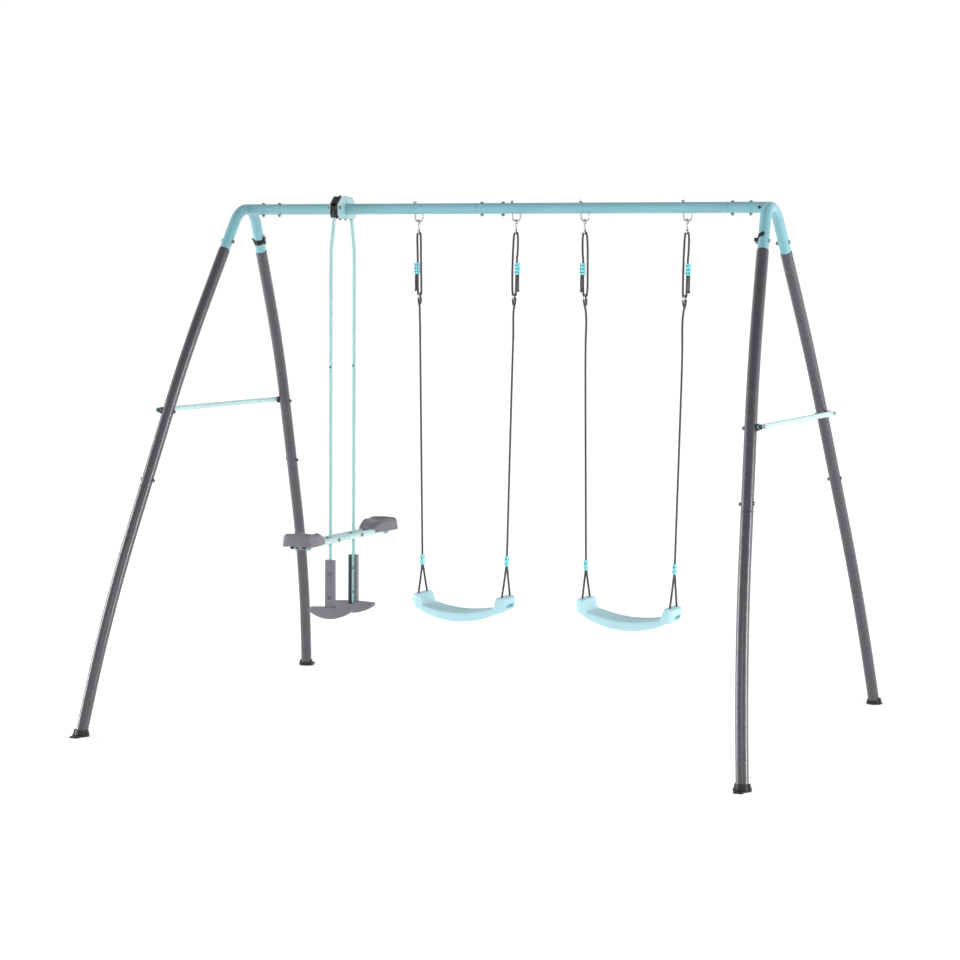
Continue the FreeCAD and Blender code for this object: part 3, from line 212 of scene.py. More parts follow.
def zinc(name, base=(0.62, 0.63, 0.65), rough=0.3):
    """bright zinc plate: faint crystals, drawing lines and handling marks"""
    m = Mat(name)
    sp = m.voronoi(330.0, "F1", out="Color")
    bw = m.n("ShaderNodeRGBToBW")
    m.l(sp, bw.inputs[0])
    c = m.ramp(bw.outputs[0], [(0.2, tone(base, 0.86)), (0.8, tone(base, 1.1))])
    c = m.mix(m.mrange(m.noise(60.0, 4.0, 0.6), 0.55, 0.8, 0.0, 0.35), c, tone(base, 0.62))
    m.set(color=c, metal=1.0, rough=m.mrange(m.noise(240.0, 3.0, 0.6), 0.3, 0.7, rough - 0.08, rough + 0.14), spec=0.5)
    m.bump(m.noise(700.0, 2.0, 0.5, m.coords((1, 1, 0.15))), 0.15, 0.0002)
    return m.m


def plastic(name, base, rough=0.42, grain=900.0, strength=0.22, var=0.05, coat=0.05, flow=True):
    """moulded plastic: fine spark-eroded grain, slight flow marks and tone drift"""
    m = Mat(name)
    cloud = m.noise(11.0, 3.0, 0.5)
    c = m.ramp(cloud, [(0.25, tone(base, 1 - var)), (0.75, tone(base, 1 + var))])
    if flow:
        fl = m.noise(9.0, 5.0, 0.65, m.coords((0.5, 2.2, 3.0)), 0.6)
        c = m.mix(m.mrange(fl, 0.5, 0.75, 0.0, 0.18), c, tone(base, 1.12))
    m.set(color=c, rough=m.mrange(m.noise(70.0, 4.0, 0.6), 0.3, 0.7, rough - 0.06, rough + 0.08), coat=coat, coat_rough=0.3, spec=0.45)
    m.bump(m.noise(grain, 2.0, 0.6), strength, 0.00022)
    m.bump(m.noise(40.0, 2.0, 0.5), 0.1, 0.0005)
    return m.m


def rope_mat(name, base):
    """braided polyester: fibre lines across the strands, lighter crowns"""
    m = Mat(name)
    fib = m.n("ShaderNodeTexWave", wave_type="BANDS", bands_direction="DIAGONAL")
    fib.inputs["Scale"].default_value = 520.0
    fib.inputs["Distortion"].default_value = 3.0
    fib.inputs["Detail"].default_value = 2.0
    m.l(m.tc.outputs["Object"], fib.inputs["Vector"])
    c = m.ramp(fib.outputs["Fac"], [(0.15, tone(base, 0.6)), (0.85, tone(base, 1.5))])
    c = m.mix(m.mrange(m.noise(130.0, 3.0, 0.6), 0.45, 0.75, 0.0, 0.6), c, tone(base, 2.0))
    m.set(color=c, rough=m.mrange(m.noise(300.0, 2.0, 0.5), 0.3, 0.7, 0.72, 0.92), sheen=0.35, sheen_rough=0.45, spec=0.3)
    m.bump(fib.outputs["Fac"], 0.5, 0.0003)
    m.bump(m.noise(1500.0, 2.0, 0.6), 0.3, 0.0002)
    return m.m


def webbing(name, base):
    m = Mat(name)
    a = m.n("ShaderNodeTexWave", wave_type="BANDS", bands_direction="Z")
    a.inputs["Scale"].default_value = 420.0
    m.l(m.tc.outputs["Object"], a.inputs["Vector"])
    b = m.n("ShaderNodeTexWave", wave_type="BANDS", bands_direction="X")
    b.inputs["Scale"].default_value = 300.0
    m.l(m.tc.outputs["Object"], b.inputs["Vector"])
    w = m.mix(0.5, a.outputs["Color"], b.outputs["Color"])
    c = m.mix(m.mrange(m.noise(80.0, 3.0), 0.4, 0.7, 0.0, 1.0), tone(base, 0.8), tone(base, 1.5))
    m.set(color=c, rough=0.75, spec=0.35)
    m.bump(w, 0.4, 0.0003)
    return m.m


TEAL = (0.184, 0.415, 0.468)
AQUA = (0.325, 0.520, 0.530)
M = {
    "corner_paint": paint("corner_paint", TEAL, 0.30, 0.35),
    "aqua_paint": paint("aqua_paint", AQUA, 0.33, 0.35, 0.04),
    "leg_paint": hammered("leg_paint", (0.026, 0.025, 0.030), (0.072, 0.069, 0.082)),
    "zinc": zinc("zinc", (0.46, 0.47, 0.48), 0.24),
    "dark_fastener": zinc("dark_fastener", (0.17, 0.19, 0.20), 0.34),
    "rope": rope_mat("rope", (0.060, 0.056, 0.060)),
    "adjuster_plastic": plastic("adjuster_plastic", (0.225, 0.670, 0.735), 0.3, 700.0, 0.1, 0.04, 0.2),
    "seat_plastic": plastic("seat_plastic", (0.445, 0.705, 0.770), 0.42, 850.0, 0.25, 0.03),
    "grey_plastic": plastic("grey_plastic", (0.158, 0.154, 0.174), 0.46, 800.0, 0.3, 0.06),
    "black_plastic": plastic("black_plastic", (0.011, 0.011, 0.012), 0.46, 800.0, 0.25, 0.1),
}
# a lighter copy of the aqua paint for the braces and glider bars: painted light, standing in for the brighter light
# that falls on them
M["brace"] = paint("aqua_paint_lit_copy", (0.430, 0.640, 0.650), 0.28, 0.4, 0.015)
M["strap"] = webbing("strap_webbing", (0.012, 0.012, 0.014))

slots = {s["node"]: s["material_slot"] for s in frame["record"]["subparts"]}
for name, ob in NODES.items():
    mat = M[slots[name]]
    if len(ob.data.materials) == 0:
        ob.data.materials.append(mat)
    # braces and glider bars take the lighter, lit copy of the aqua paint (painted light)
    if name in ("brace_left", "brace_right", "glider_bar_left", "glider_bar_right"):
        mat = M["brace"]
    for sl in ob.material_slots:
        sl.material = mat


# ------------------------------------------------------------------ mesh helpers
def mesh_ob(name, verts, faces, mat, smooth=True, angle=None):
    me = bpy.data.meshes.new(name)
    me.from_pydata([tuple(v) for v in verts], [], faces)
    me.update()
    bm = bmesh.new()
    bm.from_mesh(me)
    bmesh.ops.recalc_face_normals(bm, faces=bm.faces)
    bm.to_mesh(me)
    bm.free()
    for p in me.polygons:
        p.use_smooth = smooth
    if angle is not None:
        me.set_sharp_from_angle(angle=rad(angle))
    ob = link(bpy.data.objects.new(name, me))
    if mat:
        me.materials.append(mat)
    return ob


def loft(rings, cap=True, closed=False):
    n = len(rings[0])
    verts = [v for r in rings for v in r]
    faces = []
    k = len(rings)
    for i in range(k if closed else k - 1):
        a, b = i * n, ((i + 1) % k) * n
        for j in range(n):
            faces.append((a + j, a + (j + 1) % n, b + (j + 1) % n, b + j))
    if cap and not closed:
        faces.append(tuple(range(n))[::-1])
        faces.append(tuple(range((k - 1) * n, k * n)))
    return verts, faces


def apply_mods(ob):
    dg = bpy.context.evaluated_depsgraph_get()
    me = bpy.data.meshes.new_from_object(ob.evaluated_get(dg))
    ob.modifiers.clear()
    old = ob.data
    ob.data = me
    bpy.data.meshes.remove(old)
    return ob


def bevel(ob, width, segs=3, angle=35):
    b = ob.modifiers.new("bevel", "BEVEL")
    b.width, b.segments, b.limit_method, b.angle_limit = width, segs, "ANGLE", rad(angle)
    b.harden_normals = False
    apply_mods(ob)
    for p in ob.data.polygons:
        p.use_smooth = True
    ob.data.set_sharp_from_angle(angle=rad(50))
    return ob


def carve(ob, cutters, op="DIFFERENCE"):
    for c in cutters:
        m = ob.modifiers.new("cut", "BOOLEAN")
        m.operation, m.object, m.solver = op, c, "EXACT"
    bpy.context.view_layer.update()
    apply_mods(ob)
    for c in cutters:
        bpy.data.objects.remove(c, do_unlink=True)
    for p in ob.data.polygons:
        p.use_smooth = True
    ob.data.set_sharp_from_angle(angle=rad(38))
    return ob


def prism(name, outline, axes, origin, thick, mat=None):
    """outline in (u, v), extruded from origin along the third axis"""
    u, v, w = [Vector(a) for a in axes]
    o = Vector(origin)
    n = len(outline)
    verts = [o + u * p[0] + v * p[1] for p in outline] + [o + u * p[0] + v * p[1] + w * thick for p in outline]
    faces = [tuple(range(n))[::-1], tuple(range(n, 2 * n))] + [(i, (i + 1) % n, n + (i + 1) % n, n + i) for i in range(n)]
    return mesh_ob(name, verts, faces, mat, smooth=False)


def rod(name, p0, p1, r, seg=24, r2=None, mat=None):
    p0, p1 = Vector(p0), Vector(p1)
    d = (p1 - p0).normalized()
    a = d.orthogonal().normalized()
    b = d.cross(a)
    rr = (r, r if r2 is None else r2)
    rings = [[p + (a * math.cos(2 * math.pi * j / seg) + b * math.sin(2 * math.pi * j / seg)) * q for j in range(seg)] for p, q in zip((p0, p1), rr)]
    return mesh_ob(name, *loft(rings), mat, smooth=True, angle=40)


def arc2(cx, cy, r, a0, a1, n):
    return [(cx + r * math.cos(rad(a0 + (a1 - a0) * i / n)), cy + r * math.sin(rad(a0 + (a1 - a0) * i / n))) for i in range(n + 1)]


def stadium(w, h, n=8):
    r = min(w, h) / 2
    if w >= h:
        return arc2(w / 2 - r, 0, r, -90, 90, n) + arc2(-w / 2 + r, 0, r, 90, 270, n)
    return arc2(0, h / 2 - r, r, 0, 180, n) + arc2(0, -h / 2 + r, r, 180, 360, n)


def place(ob, mat):
    ob.data.transform(mat)
    ob.data.update()
    return ob


def resample(pts, step, closed=False):
    if closed:
        pts = pts + [pts[0]]
    total = sum((b - a).length for a, b in zip(pts, pts[1:]))
    n = max(2, int(round(total / step)))
    out, i, done = [], 0, 0.0
    for k in range(n + (0 if closed else 1)):
        t = total * k / n
        while i < len(pts) - 2 and done + (pts[i + 1] - pts[i]).length < t:
            done += (pts[i + 1] - pts[i]).length
            i += 1
        seg = (pts[i + 1] - pts[i])
        f = (t - done) / max(seg.length, 1e-12)
        out.append(pts[i] + seg * min(1.0, max(0.0, f)))
    return out, total


def frames(pts, closed=False):
    n = len(pts)
    tan = []
    for i in range(n):
        a = pts[(i - 1) % n] if (i > 0 or closed) else pts[i]
        b = pts[(i + 1) % n] if (i < n - 1 or closed) else pts[i]
        tan.append((b - a).normalized())
    nv = tan[0].orthogonal().normalized()
    if abs(tan[0].y) < 0.95:
        nv = (Vector((0, 1, 0)) - tan[0] * tan[0].y).normalized()
    out = []
    for i in range(n):
        nv = (nv - tan[i] * nv.dot(tan[i])).normalized()
        out.append((nv.copy(), tan[i].cross(nv)))
    return out


def braid_tube(name, pts, radius, mat, step=0.0012, seg=20, strands=6, pitch=0.0054, closed=False, depth=0.15):
    """round braid: two sets of strands wound opposite ways that pass over and under each other"""
    pts, total = resample(pts, step, closed)
    fr = frames(pts, closed)
    rings = []
    for i, (p, (a, b)) in enumerate(zip(pts, fr)):
        s = total * i / len(pts)
        ring = []
        for j in range(seg):
            th = 2 * math.pi * j / seg
            f1, f2 = strands * j / seg + s / pitch, strands * j / seg - s / pitch
            i1, i2 = math.floor(f1), math.floor(f2)
            b1, b2 = math.sin(math.pi * (f1 - i1)), math.sin(math.pi * (f2 - i2))
            over = (i1 + i2) % 2 == 0
            h = max(b1 * (1.0 if over else 0.7), b2 * (0.7 if over else 1.0))
            r = radius * (1.0 - depth + depth * h)
            ring.append(p + (a * math.cos(th) + b * math.sin(th)) * r)
        rings.append(ring)
    return mesh_ob(name, *loft(rings, closed=closed), mat)


def knot(name, mat4, centre, size, rope_r, spin=0.0):
    """overhand knot pulled tight: a closed trefoil of the same rope"""
    pts = []
    k = (size - rope_r) / 3.0
    for i in range(96):
        t = 2 * math.pi * i / 96
        x, y, z = math.sin(t) + 2 * math.sin(2 * t), math.cos(t) - 2 * math.cos(2 * t), -math.sin(3 * t)
        pts.append(Vector((x * k, y * k, z * k * 1.5)))
    turn = Matrix.Rotation(spin, 3, "Z") @ Matrix.Rotation(rad(64), 3, "X")
    pts = [mat4 @ (Vector(centre) * MM + (turn @ p) * MM) for p in pts]
    return braid_tube(name, pts, rope_r * MM, M["rope"], closed=True)


def ride(ob, body, replaces=()):
    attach(ob, body)
    if replaces:
        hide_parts(*replaces)
    return ob


# ------------------------------------------------------------------ swings
HOOK = 2047.0
SWINGS = {
    "swing_a": dict(x=-135.0, dx=-4.0, level=(514.0, 514.0), low=(672.0, 682.0)),
    "swing_b": dict(x=590.0, dx=-9.0, level=(528.0, 507.0), low=(683.0, 684.0)),
}
# Routes in metres, each in its rope's own frame: z down the rope from the beam hook, x away from the seat's middle.
# loop: from the adjuster over the S hook, down through the ring and back up to the adjuster
LOOPS = {
    ("swing_a", -1): [(0.0071, 0, -0.1904), (0.0071, 0, -0.160), (0.0076, 0.0004, -0.110), (0.0084, 0, -0.066), (0.0066, 0, -0.0436), (-0.0066, 0, -0.0436),
                      (-0.0081, 0, -0.066), (-0.0079, -0.0005, -0.140), (-0.0077, 0.0003, -0.225), (-0.0078, 0, -0.276), (-0.0074, 0, -0.292),
                      (-0.0064, 0, -0.3014), (0.0064, 0, -0.3014), (0.0074, 0, -0.290), (0.0082, 0, -0.262), (0.0076, 0, -0.224), (0.0071, 0, -0.1916)],
    ("swing_a", 1): [(0.0071, 0, -0.1904), (0.0071, 0, -0.160), (0.0104, 0, -0.112), (0.0096, 0, -0.066), (0.0066, 0, -0.0436), (-0.0066, 0, -0.0436),
                     (-0.0092, 0, -0.066), (-0.0114, 0.0005, -0.135), (-0.0112, 0, -0.222), (-0.0092, 0, -0.274), (-0.0074, 0, -0.292),
                     (-0.0064, 0, -0.3014), (0.0064, 0, -0.3014), (0.0070, 0, -0.290), (0.0066, 0, -0.260), (0.0068, 0, -0.222), (0.0071, 0, -0.1916)],
    ("swing_b", -1): [(0.0071, 0, -0.1904), (0.0071, 0, -0.160), (0.0109, 0.0004, -0.118), (0.0096, 0, -0.066), (0.0066, 0, -0.0436), (-0.0066, 0, -0.0436),
                      (-0.0102, 0, -0.066), (-0.0120, 0, -0.120), (-0.0112, 0, -0.215), (-0.0106, 0, -0.270), (-0.0074, 0, -0.292),
                      (-0.0064, 0, -0.3014), (0.0064, 0, -0.3014), (0.0076, 0, -0.290), (0.0086, 0, -0.258), (0.0078, 0, -0.222), (0.0071, 0, -0.1916)],
    ("swing_b", 1): [(0.0071, 0, -0.1904), (0.0071, 0, -0.160), (0.0099, 0, -0.112), (0.0092, 0, -0.066), (0.0066, 0, -0.0436), (-0.0066, 0, -0.0436),
                     (-0.0090, 0, -0.066), (-0.0102, -0.0004, -0.130), (-0.0098, 0, -0.215), (-0.0088, 0, -0.272), (-0.0074, 0, -0.292),
                     (-0.0064, 0, -0.3014), (0.0064, 0, -0.3014), (0.0072, 0, -0.290), (0.0070, 0, -0.260), (0.0070, 0, -0.222), (0.0071, 0, -0.1916)],
}
# the spare end below the adjuster, lying along the loop down to the ring
TAILS = {
    ("swing_a", -1): [(0.0156, 0, -0.184), (0.0156, 0, -0.218), (0.0176, 0.0005, -0.246), (0.0164, 0, -0.277)],
    ("swing_a", 1): [(0.0156, 0, -0.184), (0.0156, 0, -0.218), (0.0158, -0.0005, -0.248), (0.0160, 0, -0.277)],
    ("swing_b", -1): [(0.0156, 0, -0.184), (0.0156, 0, -0.218), (0.0182, 0.0005, -0.246), (0.0168, 0, -0.277)],
    ("swing_b", 1): [(0.0156, 0, -0.184), (0.0156, 0, -0.218), (0.0164, 0.0005, -0.248), (0.0162, 0, -0.277)],
}
# from the lower adjuster up to the ring, through it and back into the knot, with the stiff rope's own set below the ring
RUNS = {
    ("swing_a", -1): [(0, 0, -1.3922), (0, 0, -1.330), (0, 0, -0.520), (-0.0006, 0, -0.430), (0.0006, 0, -0.372), (0.0002, 0, -0.348), (0.0044, 0, -0.331),
                      (0.0054, 0, -0.3215), (0.0062, 0, -0.3106), (-0.0062, 0, -0.3106), (-0.0054, 0, -0.3215), (-0.0042, 0, -0.333)],
    ("swing_a", 1): [(0, 0, -1.3823), (0, 0, -1.320), (0, 0, -0.560), (0.0010, 0, -0.450), (-0.0022, 0, -0.385), (-0.0005, 0, -0.350), (0.0044, 0, -0.331),
                     (0.0054, 0, -0.3215), (0.0062, 0, -0.3106), (-0.0062, 0, -0.3106), (-0.0054, 0, -0.3215), (-0.0042, 0, -0.333)],
    ("swing_b", -1): [(0, 0, -1.3811), (0, 0, -1.320), (0, 0, -0.600), (-0.0015, 0, -0.480), (-0.0055, 0, -0.395), (-0.0018, 0, -0.352), (0.0042, 0, -0.331),
                      (0.0054, 0, -0.3215), (0.0062, 0, -0.3106), (-0.0062, 0, -0.3106), (-0.0054, 0, -0.3215), (-0.0042, 0, -0.333)],
    ("swing_b", 1): [(0, 0, -1.3804), (0, 0, -1.320), (0, 0, -0.600), (-0.0020, 0, -0.500), (-0.0065, 0, -0.405), (-0.0026, 0, -0.354), (0.0042, 0, -0.331),
                     (0.0054, 0, -0.3215), (0.0062, 0, -0.3106), (-0.0062, 0, -0.3106), (-0.0054, 0, -0.3215), (-0.0042, 0, -0.333)],
}
# one leg of the fork from the lower adjuster to its seat hole and the knot below it (y towards the rear)
FORKS = {
    ("swing_a", -1): [(0, 0.0045, -1.4188), (0.0002, 0.0250, -1.4820), (0, 0.0448, -1.5310), (0, 0.0500, -1.5520), (0, 0.0510, -1.5740)],
    ("swing_a", 1): [(0, 0.0045, -1.4089), (0.0002, 0.0245, -1.4760), (0, 0.0448, -1.5310), (0, 0.0500, -1.5520), (0, 0.0510, -1.5740)],
    ("swing_b", -1): [(0, 0.0045, -1.4077), (0.0002, 0.0260, -1.4700), (0, 0.0448, -1.5170), (0, 0.0500, -1.5380), (0, 0.0510, -1.5600)],
    ("swing_b", 1): [(0, 0.0046, -1.4070), (0.0002, 0.0250, -1.4800), (0, 0.0448, -1.5382), (0, 0.0500, -1.5600), (0, 0.0510, -1.5812)],
}


def rope_frame(sw, sd):
    d = SWINGS[sw]
    lv, lo = (d["level"][0], d["low"][0]) if sd < 0 else (d["level"][1], d["low"][1])
    tilt = math.asin((d["level"][0] - d["level"][1]) / 371.0)
    across = 215.0 - 185.5 * math.cos(tilt) - sd * d["dx"]
    beta = math.atan(across / (HOOK - lv))
    m = Matrix.Translation(Vector((d["x"] + sd * 215.0, 0, HOOK)) * MM) @ Matrix.Rotation(sd * beta, 4, "Y")
    hole = -math.hypot(across, HOOK - lv)
    top = -(HOOK - lo) / math.cos(beta)
    return m, hole, top, top - 45.0, tilt


def route_curve(points):
    """the cord's smooth line: a spline with the route's points as its control points"""
    cu = bpy.data.curves.new("route", "CURVE")
    cu.dimensions = "3D"
    sp = cu.splines.new("NURBS")
    sp.points.add(len(points) - 1)
    for p, q in zip(sp.points, points):
        p.co = (q[0], q[1], q[2], 1.0)
    sp.order_u = 3
    sp.use_endpoint_u = True
    sp.resolution_u = 24
    cu.resolution_u = 24
    return link(bpy.data.objects.new("route", cu))


def cord(name, points, mat4, flip, body, node, knots=(), r=4.4, step=0.0012):
    cv = route_curve(points)
    cv.matrix_world = mat4 @ Matrix.Diagonal((flip[0], flip[1], 1.0, 1.0))
    bpy.context.view_layer.update()
    me = bpy.data.meshes.new_from_object(cv)
    line = [cv.matrix_world @ v.co for v in me.vertices]
    bpy.data.objects.remove(cv, do_unlink=True)
    bpy.data.meshes.remove(me)
    ob = braid_tube(name, line, r * MM, M["rope"], step)
    ride(ob, body, (node,))
    for k in knots:
        ride(k, body, (node,))
    return ob


def adjuster_block(name, w, d, h, mat4, centre, slots_at, bores, e=0.42, deep=8.0):
    """rounded moulded block with windows over its rope channels"""
    rings = []
    for z, k in ((-h / 2, 0.88), (-h / 2 + 0.7, 0.96), (-h / 2 + 2.2, 1.0), (-h * 0.25, 1.0), (-h * 0.15, 0.98), (0, 0.965), (h * 0.15, 0.98), (h * 0.25, 1.0),
                 (h / 2 - 2.2, 1.0), (h / 2 - 0.7, 0.96), (h / 2, 0.88)):
        ring = []
        for j in range(48):
            t = 2 * math.pi * j / 48
            c, s = math.cos(t), math.sin(t)
            ring.append(Vector((math.copysign(abs(c) ** e, c) * w / 2 * k, math.copysign(abs(s) ** e, s) * d / 2 * k, z)))
        rings.append(ring)
    ob = mesh_ob(name, *loft(rings), M["adjuster_plastic"])
    cutters = []
    for (x, y, r, z0, z1) in bores:
        cutters.append(rod("c", (x, y, z0), (x, y, z1), r, 28))
    for (x, y, z, sw_, sh, axis) in slots_at:
        if axis == "Y":
            cutters.append(prism("c", stadium(sw_, sh), ((1, 0, 0), (0, 0, 1), (0, 1, 0)), (x, y - deep / 2, z), deep))
        else:
            cutters.append(prism("c", stadium(sw_, sh), ((0, 1, 0), (0, 0, 1), (1, 0, 0)), (x - deep / 2, y, z), deep))
    carve(ob, cutters)
    place(ob, mat4 @ Matrix.Scale(MM, 4) @ Matrix.Translation(Vector(centre)))
    return ob


def swing_seat(sw):
    d = SWINGS[sw]
    tilt = math.asin((d["level"][0] - d["level"][1]) / 371.0)
    zm = (d["level"][0] + d["level"][1]) / 2
    mat4 = Matrix.Translation(Vector((d["x"] + d["dx"], 0, zm)) * MM) @ Matrix.Rotation(tilt, 4, "Y") @ Matrix.Scale(MM, 4)
    top = 514.0
    half = 209.0

    def lerp(t, tab):
        for (a, va), (b, vb) in zip(tab, tab[1:]):
            if t <= b:
                f = (t - a) / (b - a)
                f = f * f * (3 - 2 * f) if (vb - va) else f
                return va + (vb - va) * f
        return tab[-1][1]

    def zbot(x):
        x = abs(x)
        base = 407.0 + 395.0 - math.sqrt(395.0 ** 2 - min(x, 183.0) ** 2)
        if x > 183.0:
            t = (x - 183.0) / 26.0
            base = 451.9 + 32.1 * (1 - math.sqrt(max(0.0, 1 - t * t))) * 0.85 + t * 4.0
        return base - top

    def ztop(x):
        x = abs(x)
        dish = 446.0 + 505.0 - math.sqrt(505.0 ** 2 - min(x, 157.0) ** 2)
        if x <= 153.0:
            return dish - top
        if x <= 170.0:
            t = (x - 153.0) / 17.0
            t = t * t * (3 - 2 * t)
            return dish + (513.6 - dish) * t - top
        if x <= 195.0:
            return -0.4 + 0.4 * math.sin((x - 170) / 25 * math.pi)
        t = (x - 195.0) / 14.0
        return -0.4 - 10.5 * (1 - math.sqrt(max(0.0, 1 - t * t)))

    def wid(x):
        return lerp(abs(x), [(0, 80), (95, 79.6), (150, 75.5), (184, 69.5), (198, 63.5), (206, 55.0), (209, 46.0)])

    xs = [0, 6, 12]
    x = 12
    while x < 148:
        x += 6
        xs.append(x)
    xs += [152, 154, 156, 157.5, 159, 160.5, 162, 163.5, 165, 167, 169, 171, 174, 178, 182, 186, 190, 194, 197, 200, 202.5, 204.5, 206.2, 207.6, 208.5, 209]
    xs = sorted(set([-v for v in xs] + xs))
    rings = []
    nt = 60
    for x in xs:
        w, zb, zt = wid(x), zbot(x), ztop(x)
        r = min(11.0, (zt - zb) * 0.42)
        rt = min(9.0, (zt - zb) * 0.42) if abs(x) < 150 else min(13.0, (zt - zb) * 0.42)
        ring = []
        inside = max(0.0, min(1.0, (157.0 - abs(x)) / 10.0))
        # underside
        for i in range(17):
            y = -(w - r) + 2 * (w - r) * i / 16
            ring.append(Vector((x, y, zb + 1.2 * math.cos(math.pi * y / (2 * w)) * inside)))
        for i in range(1, 6):
            a = rad(-90 + 90 * i / 6)
            ring.append(Vector((x, w - r + r * math.cos(a), zb + r + r * math.sin(a))))
        ring.append(Vector((x, w + 0.0, zb + r + (zt - zb - r - rt) * 0.5)))
        for i in range(0, 6):
            a = rad(90 * i / 6)
            ring.append(Vector((x, w - rt + rt * math.cos(a), zt - rt + rt * math.sin(a))))
        # top: rim, step and grooved sitting surface
        for i in range(nt + 1):
            y = (w - rt) - 2 * (w - rt) * i / nt
            q = abs(y)
            dz = 0.0
            if inside > 0:
                k = max(0.0, min(1.0, (w - 11.0 - q) / 5.0))
                k = k * k * (3 - 2 * k)
                dz = -1.6 * k - 1.4 * k * (1 - math.cos(math.pi * q / (2 * w)))
                dz -= 3.0 * math.exp(-((q - (w - 15.0)) / 2.4) ** 2)
                for g in (16.0, 38.0):
                    dz -= 1.3 * math.exp(-((q - g) / 2.4) ** 2) * k
                dz *= inside
            ring.append(Vector((x, y, zt + dz)))
        for i in range(1, 6):
            a = rad(90 + 90 * i / 6)
            ring.append(Vector((x, -(w - rt) + rt * math.cos(a), zt - rt + rt * math.sin(a))))
        ring.append(Vector((x, -w, zt - rt)))
        ring.append(Vector((x, -w - 0.0, zb + r + (zt - zb - r - rt) * 0.5)))
        for i in range(0, 6):
            a = rad(180 + 90 * i / 6)
            ring.append(Vector((x, -(w - r) + r * math.cos(a), zb + r + r * math.sin(a))))
        rings.append(ring)
    ob = mesh_ob("%s_seat_shell" % sw, *loft(rings), M["seat_plastic"])
    place(ob, mat4)
    cutters = []
    for sd in (-1, 1):
        m, hole, ltop, lbot, _ = rope_frame(sw, sd)
        for sy in (-1, 1):
            dv = Vector((0, sy * 0.30, -1)).normalized()
            c = Vector((0, sy * 44.8, hole))
            cutters.append(rod("c", m @ ((c - dv * 12) * MM), m @ ((c + dv * 34) * MM), 5.2 * MM, 28))
            cutters.append(rod("c", m @ ((c - dv * 3.0) * MM), m @ ((c + dv * 3.2) * MM), 9.4 * MM, 28, 5.1 * MM))
            kp = Vector((0, sy * 50.4, hole - 26.0))
            cutters.append(rod("c", m @ (kp * MM), m @ ((kp + Vector((0, 0, -60))) * MM), 12.6 * MM, 32))
        # slot under the end block
        s = prism("c", stadium(80.0, 16.0, 10), ((0, 1, 0), (0, 0, 1), (1, 0, 0)), (-222.0 if sd < 0 else 192.0, -8.0, -37.0), 30.0)
        cutters.append(place(s, mat4))
    carve(ob, cutters)
    return ride(ob, sw, ("%s_seat" % sw,))


for sw in ("swing_a", "swing_b"):
    for sd, sn in ((-1, "left"), (1, "right")):
        m, hole, ltop, lbot, tilt = rope_frame(sw, sd)
        node = "%s_rope_%s" % (sw, sn)
        tag = "%s_%s" % (sw, sn)
        key = (sw, sd)
        cord(tag + "_loop", LOOPS[key], m, (sd, 1), sw, node)
        kt = knot(tag + "_tail_knot", m, (sd * 16.4, 0, -279.0), 6.9, 3.3, 0.4 + sd)
        cord(tag + "_tail", TAILS[key], m, (sd, 1), sw, node, [kt], 4.1)
        ke = knot(tag + "_ring_knot", m, (0, 0, -334.5), 9.0, 4.0, 0.9 * sd)
        cord(tag + "_main", RUNS[key], m, (sd, 1), sw, node, [ke])
        for sy, fn in ((-1, "front"), (1, "back")):
            p = FORKS[key][-1]
            k2 = knot("%s_%s_seat_knot" % (tag, fn), m, (0, sy * p[1] * 1000, p[2] * 1000), 8.7, 3.9, sy * 0.7)
            cord("%s_fork_%s" % (tag, fn), FORKS[key], m, (1, sy), sw, node,
                 [k2])
        # adjusters
        sl = [(xx, yy, zz, 6.0, 6.2, "Y") for xx in (-sd * 4.6, sd * 4.6) for yy in (-7.0, 7.0) for zz in (-14.0, 0.0, 14.0)]
        up = adjuster_block(tag + "_upper_adjuster", 22.5, 14.0, 47.0, m, (sd * (7.1 + 3.95), 0, -191.0), sl,
                            [(-sd * 3.95, 0, 4.5, -30, 30), (sd * 4.5, 0, 4.5, -30, 10)], 0.30)
        ride(up, sw, ("%s_adjusters" % sw,))
        sl = [(0, yy, zz, 9.0, 6.6, "Y") for yy in (-12.2, 12.2) for zz in (-8.5, 8.5)] + [(xx, 0, zz, 12.0, 6.6, "X") for xx in (-7.2, 7.2) for zz in (-8.5, 8.5)]
        lo = adjuster_block(tag + "_lower_adjuster", 14.5, 24.0, 43.5, m, (0, 0, (ltop + lbot) / 2), sl,
                            [(0, 0, 4.6, -4, 30), (0, -5.2, 4.6, -30, 2), (0, 5.2, 4.6, -30, 2)], 0.34, 17.0)
        ride(lo, sw, ("%s_adjusters" % sw,))
    swing_seat(sw)


# ------------------------------------------------------------------ glider seats
GX = -695.0


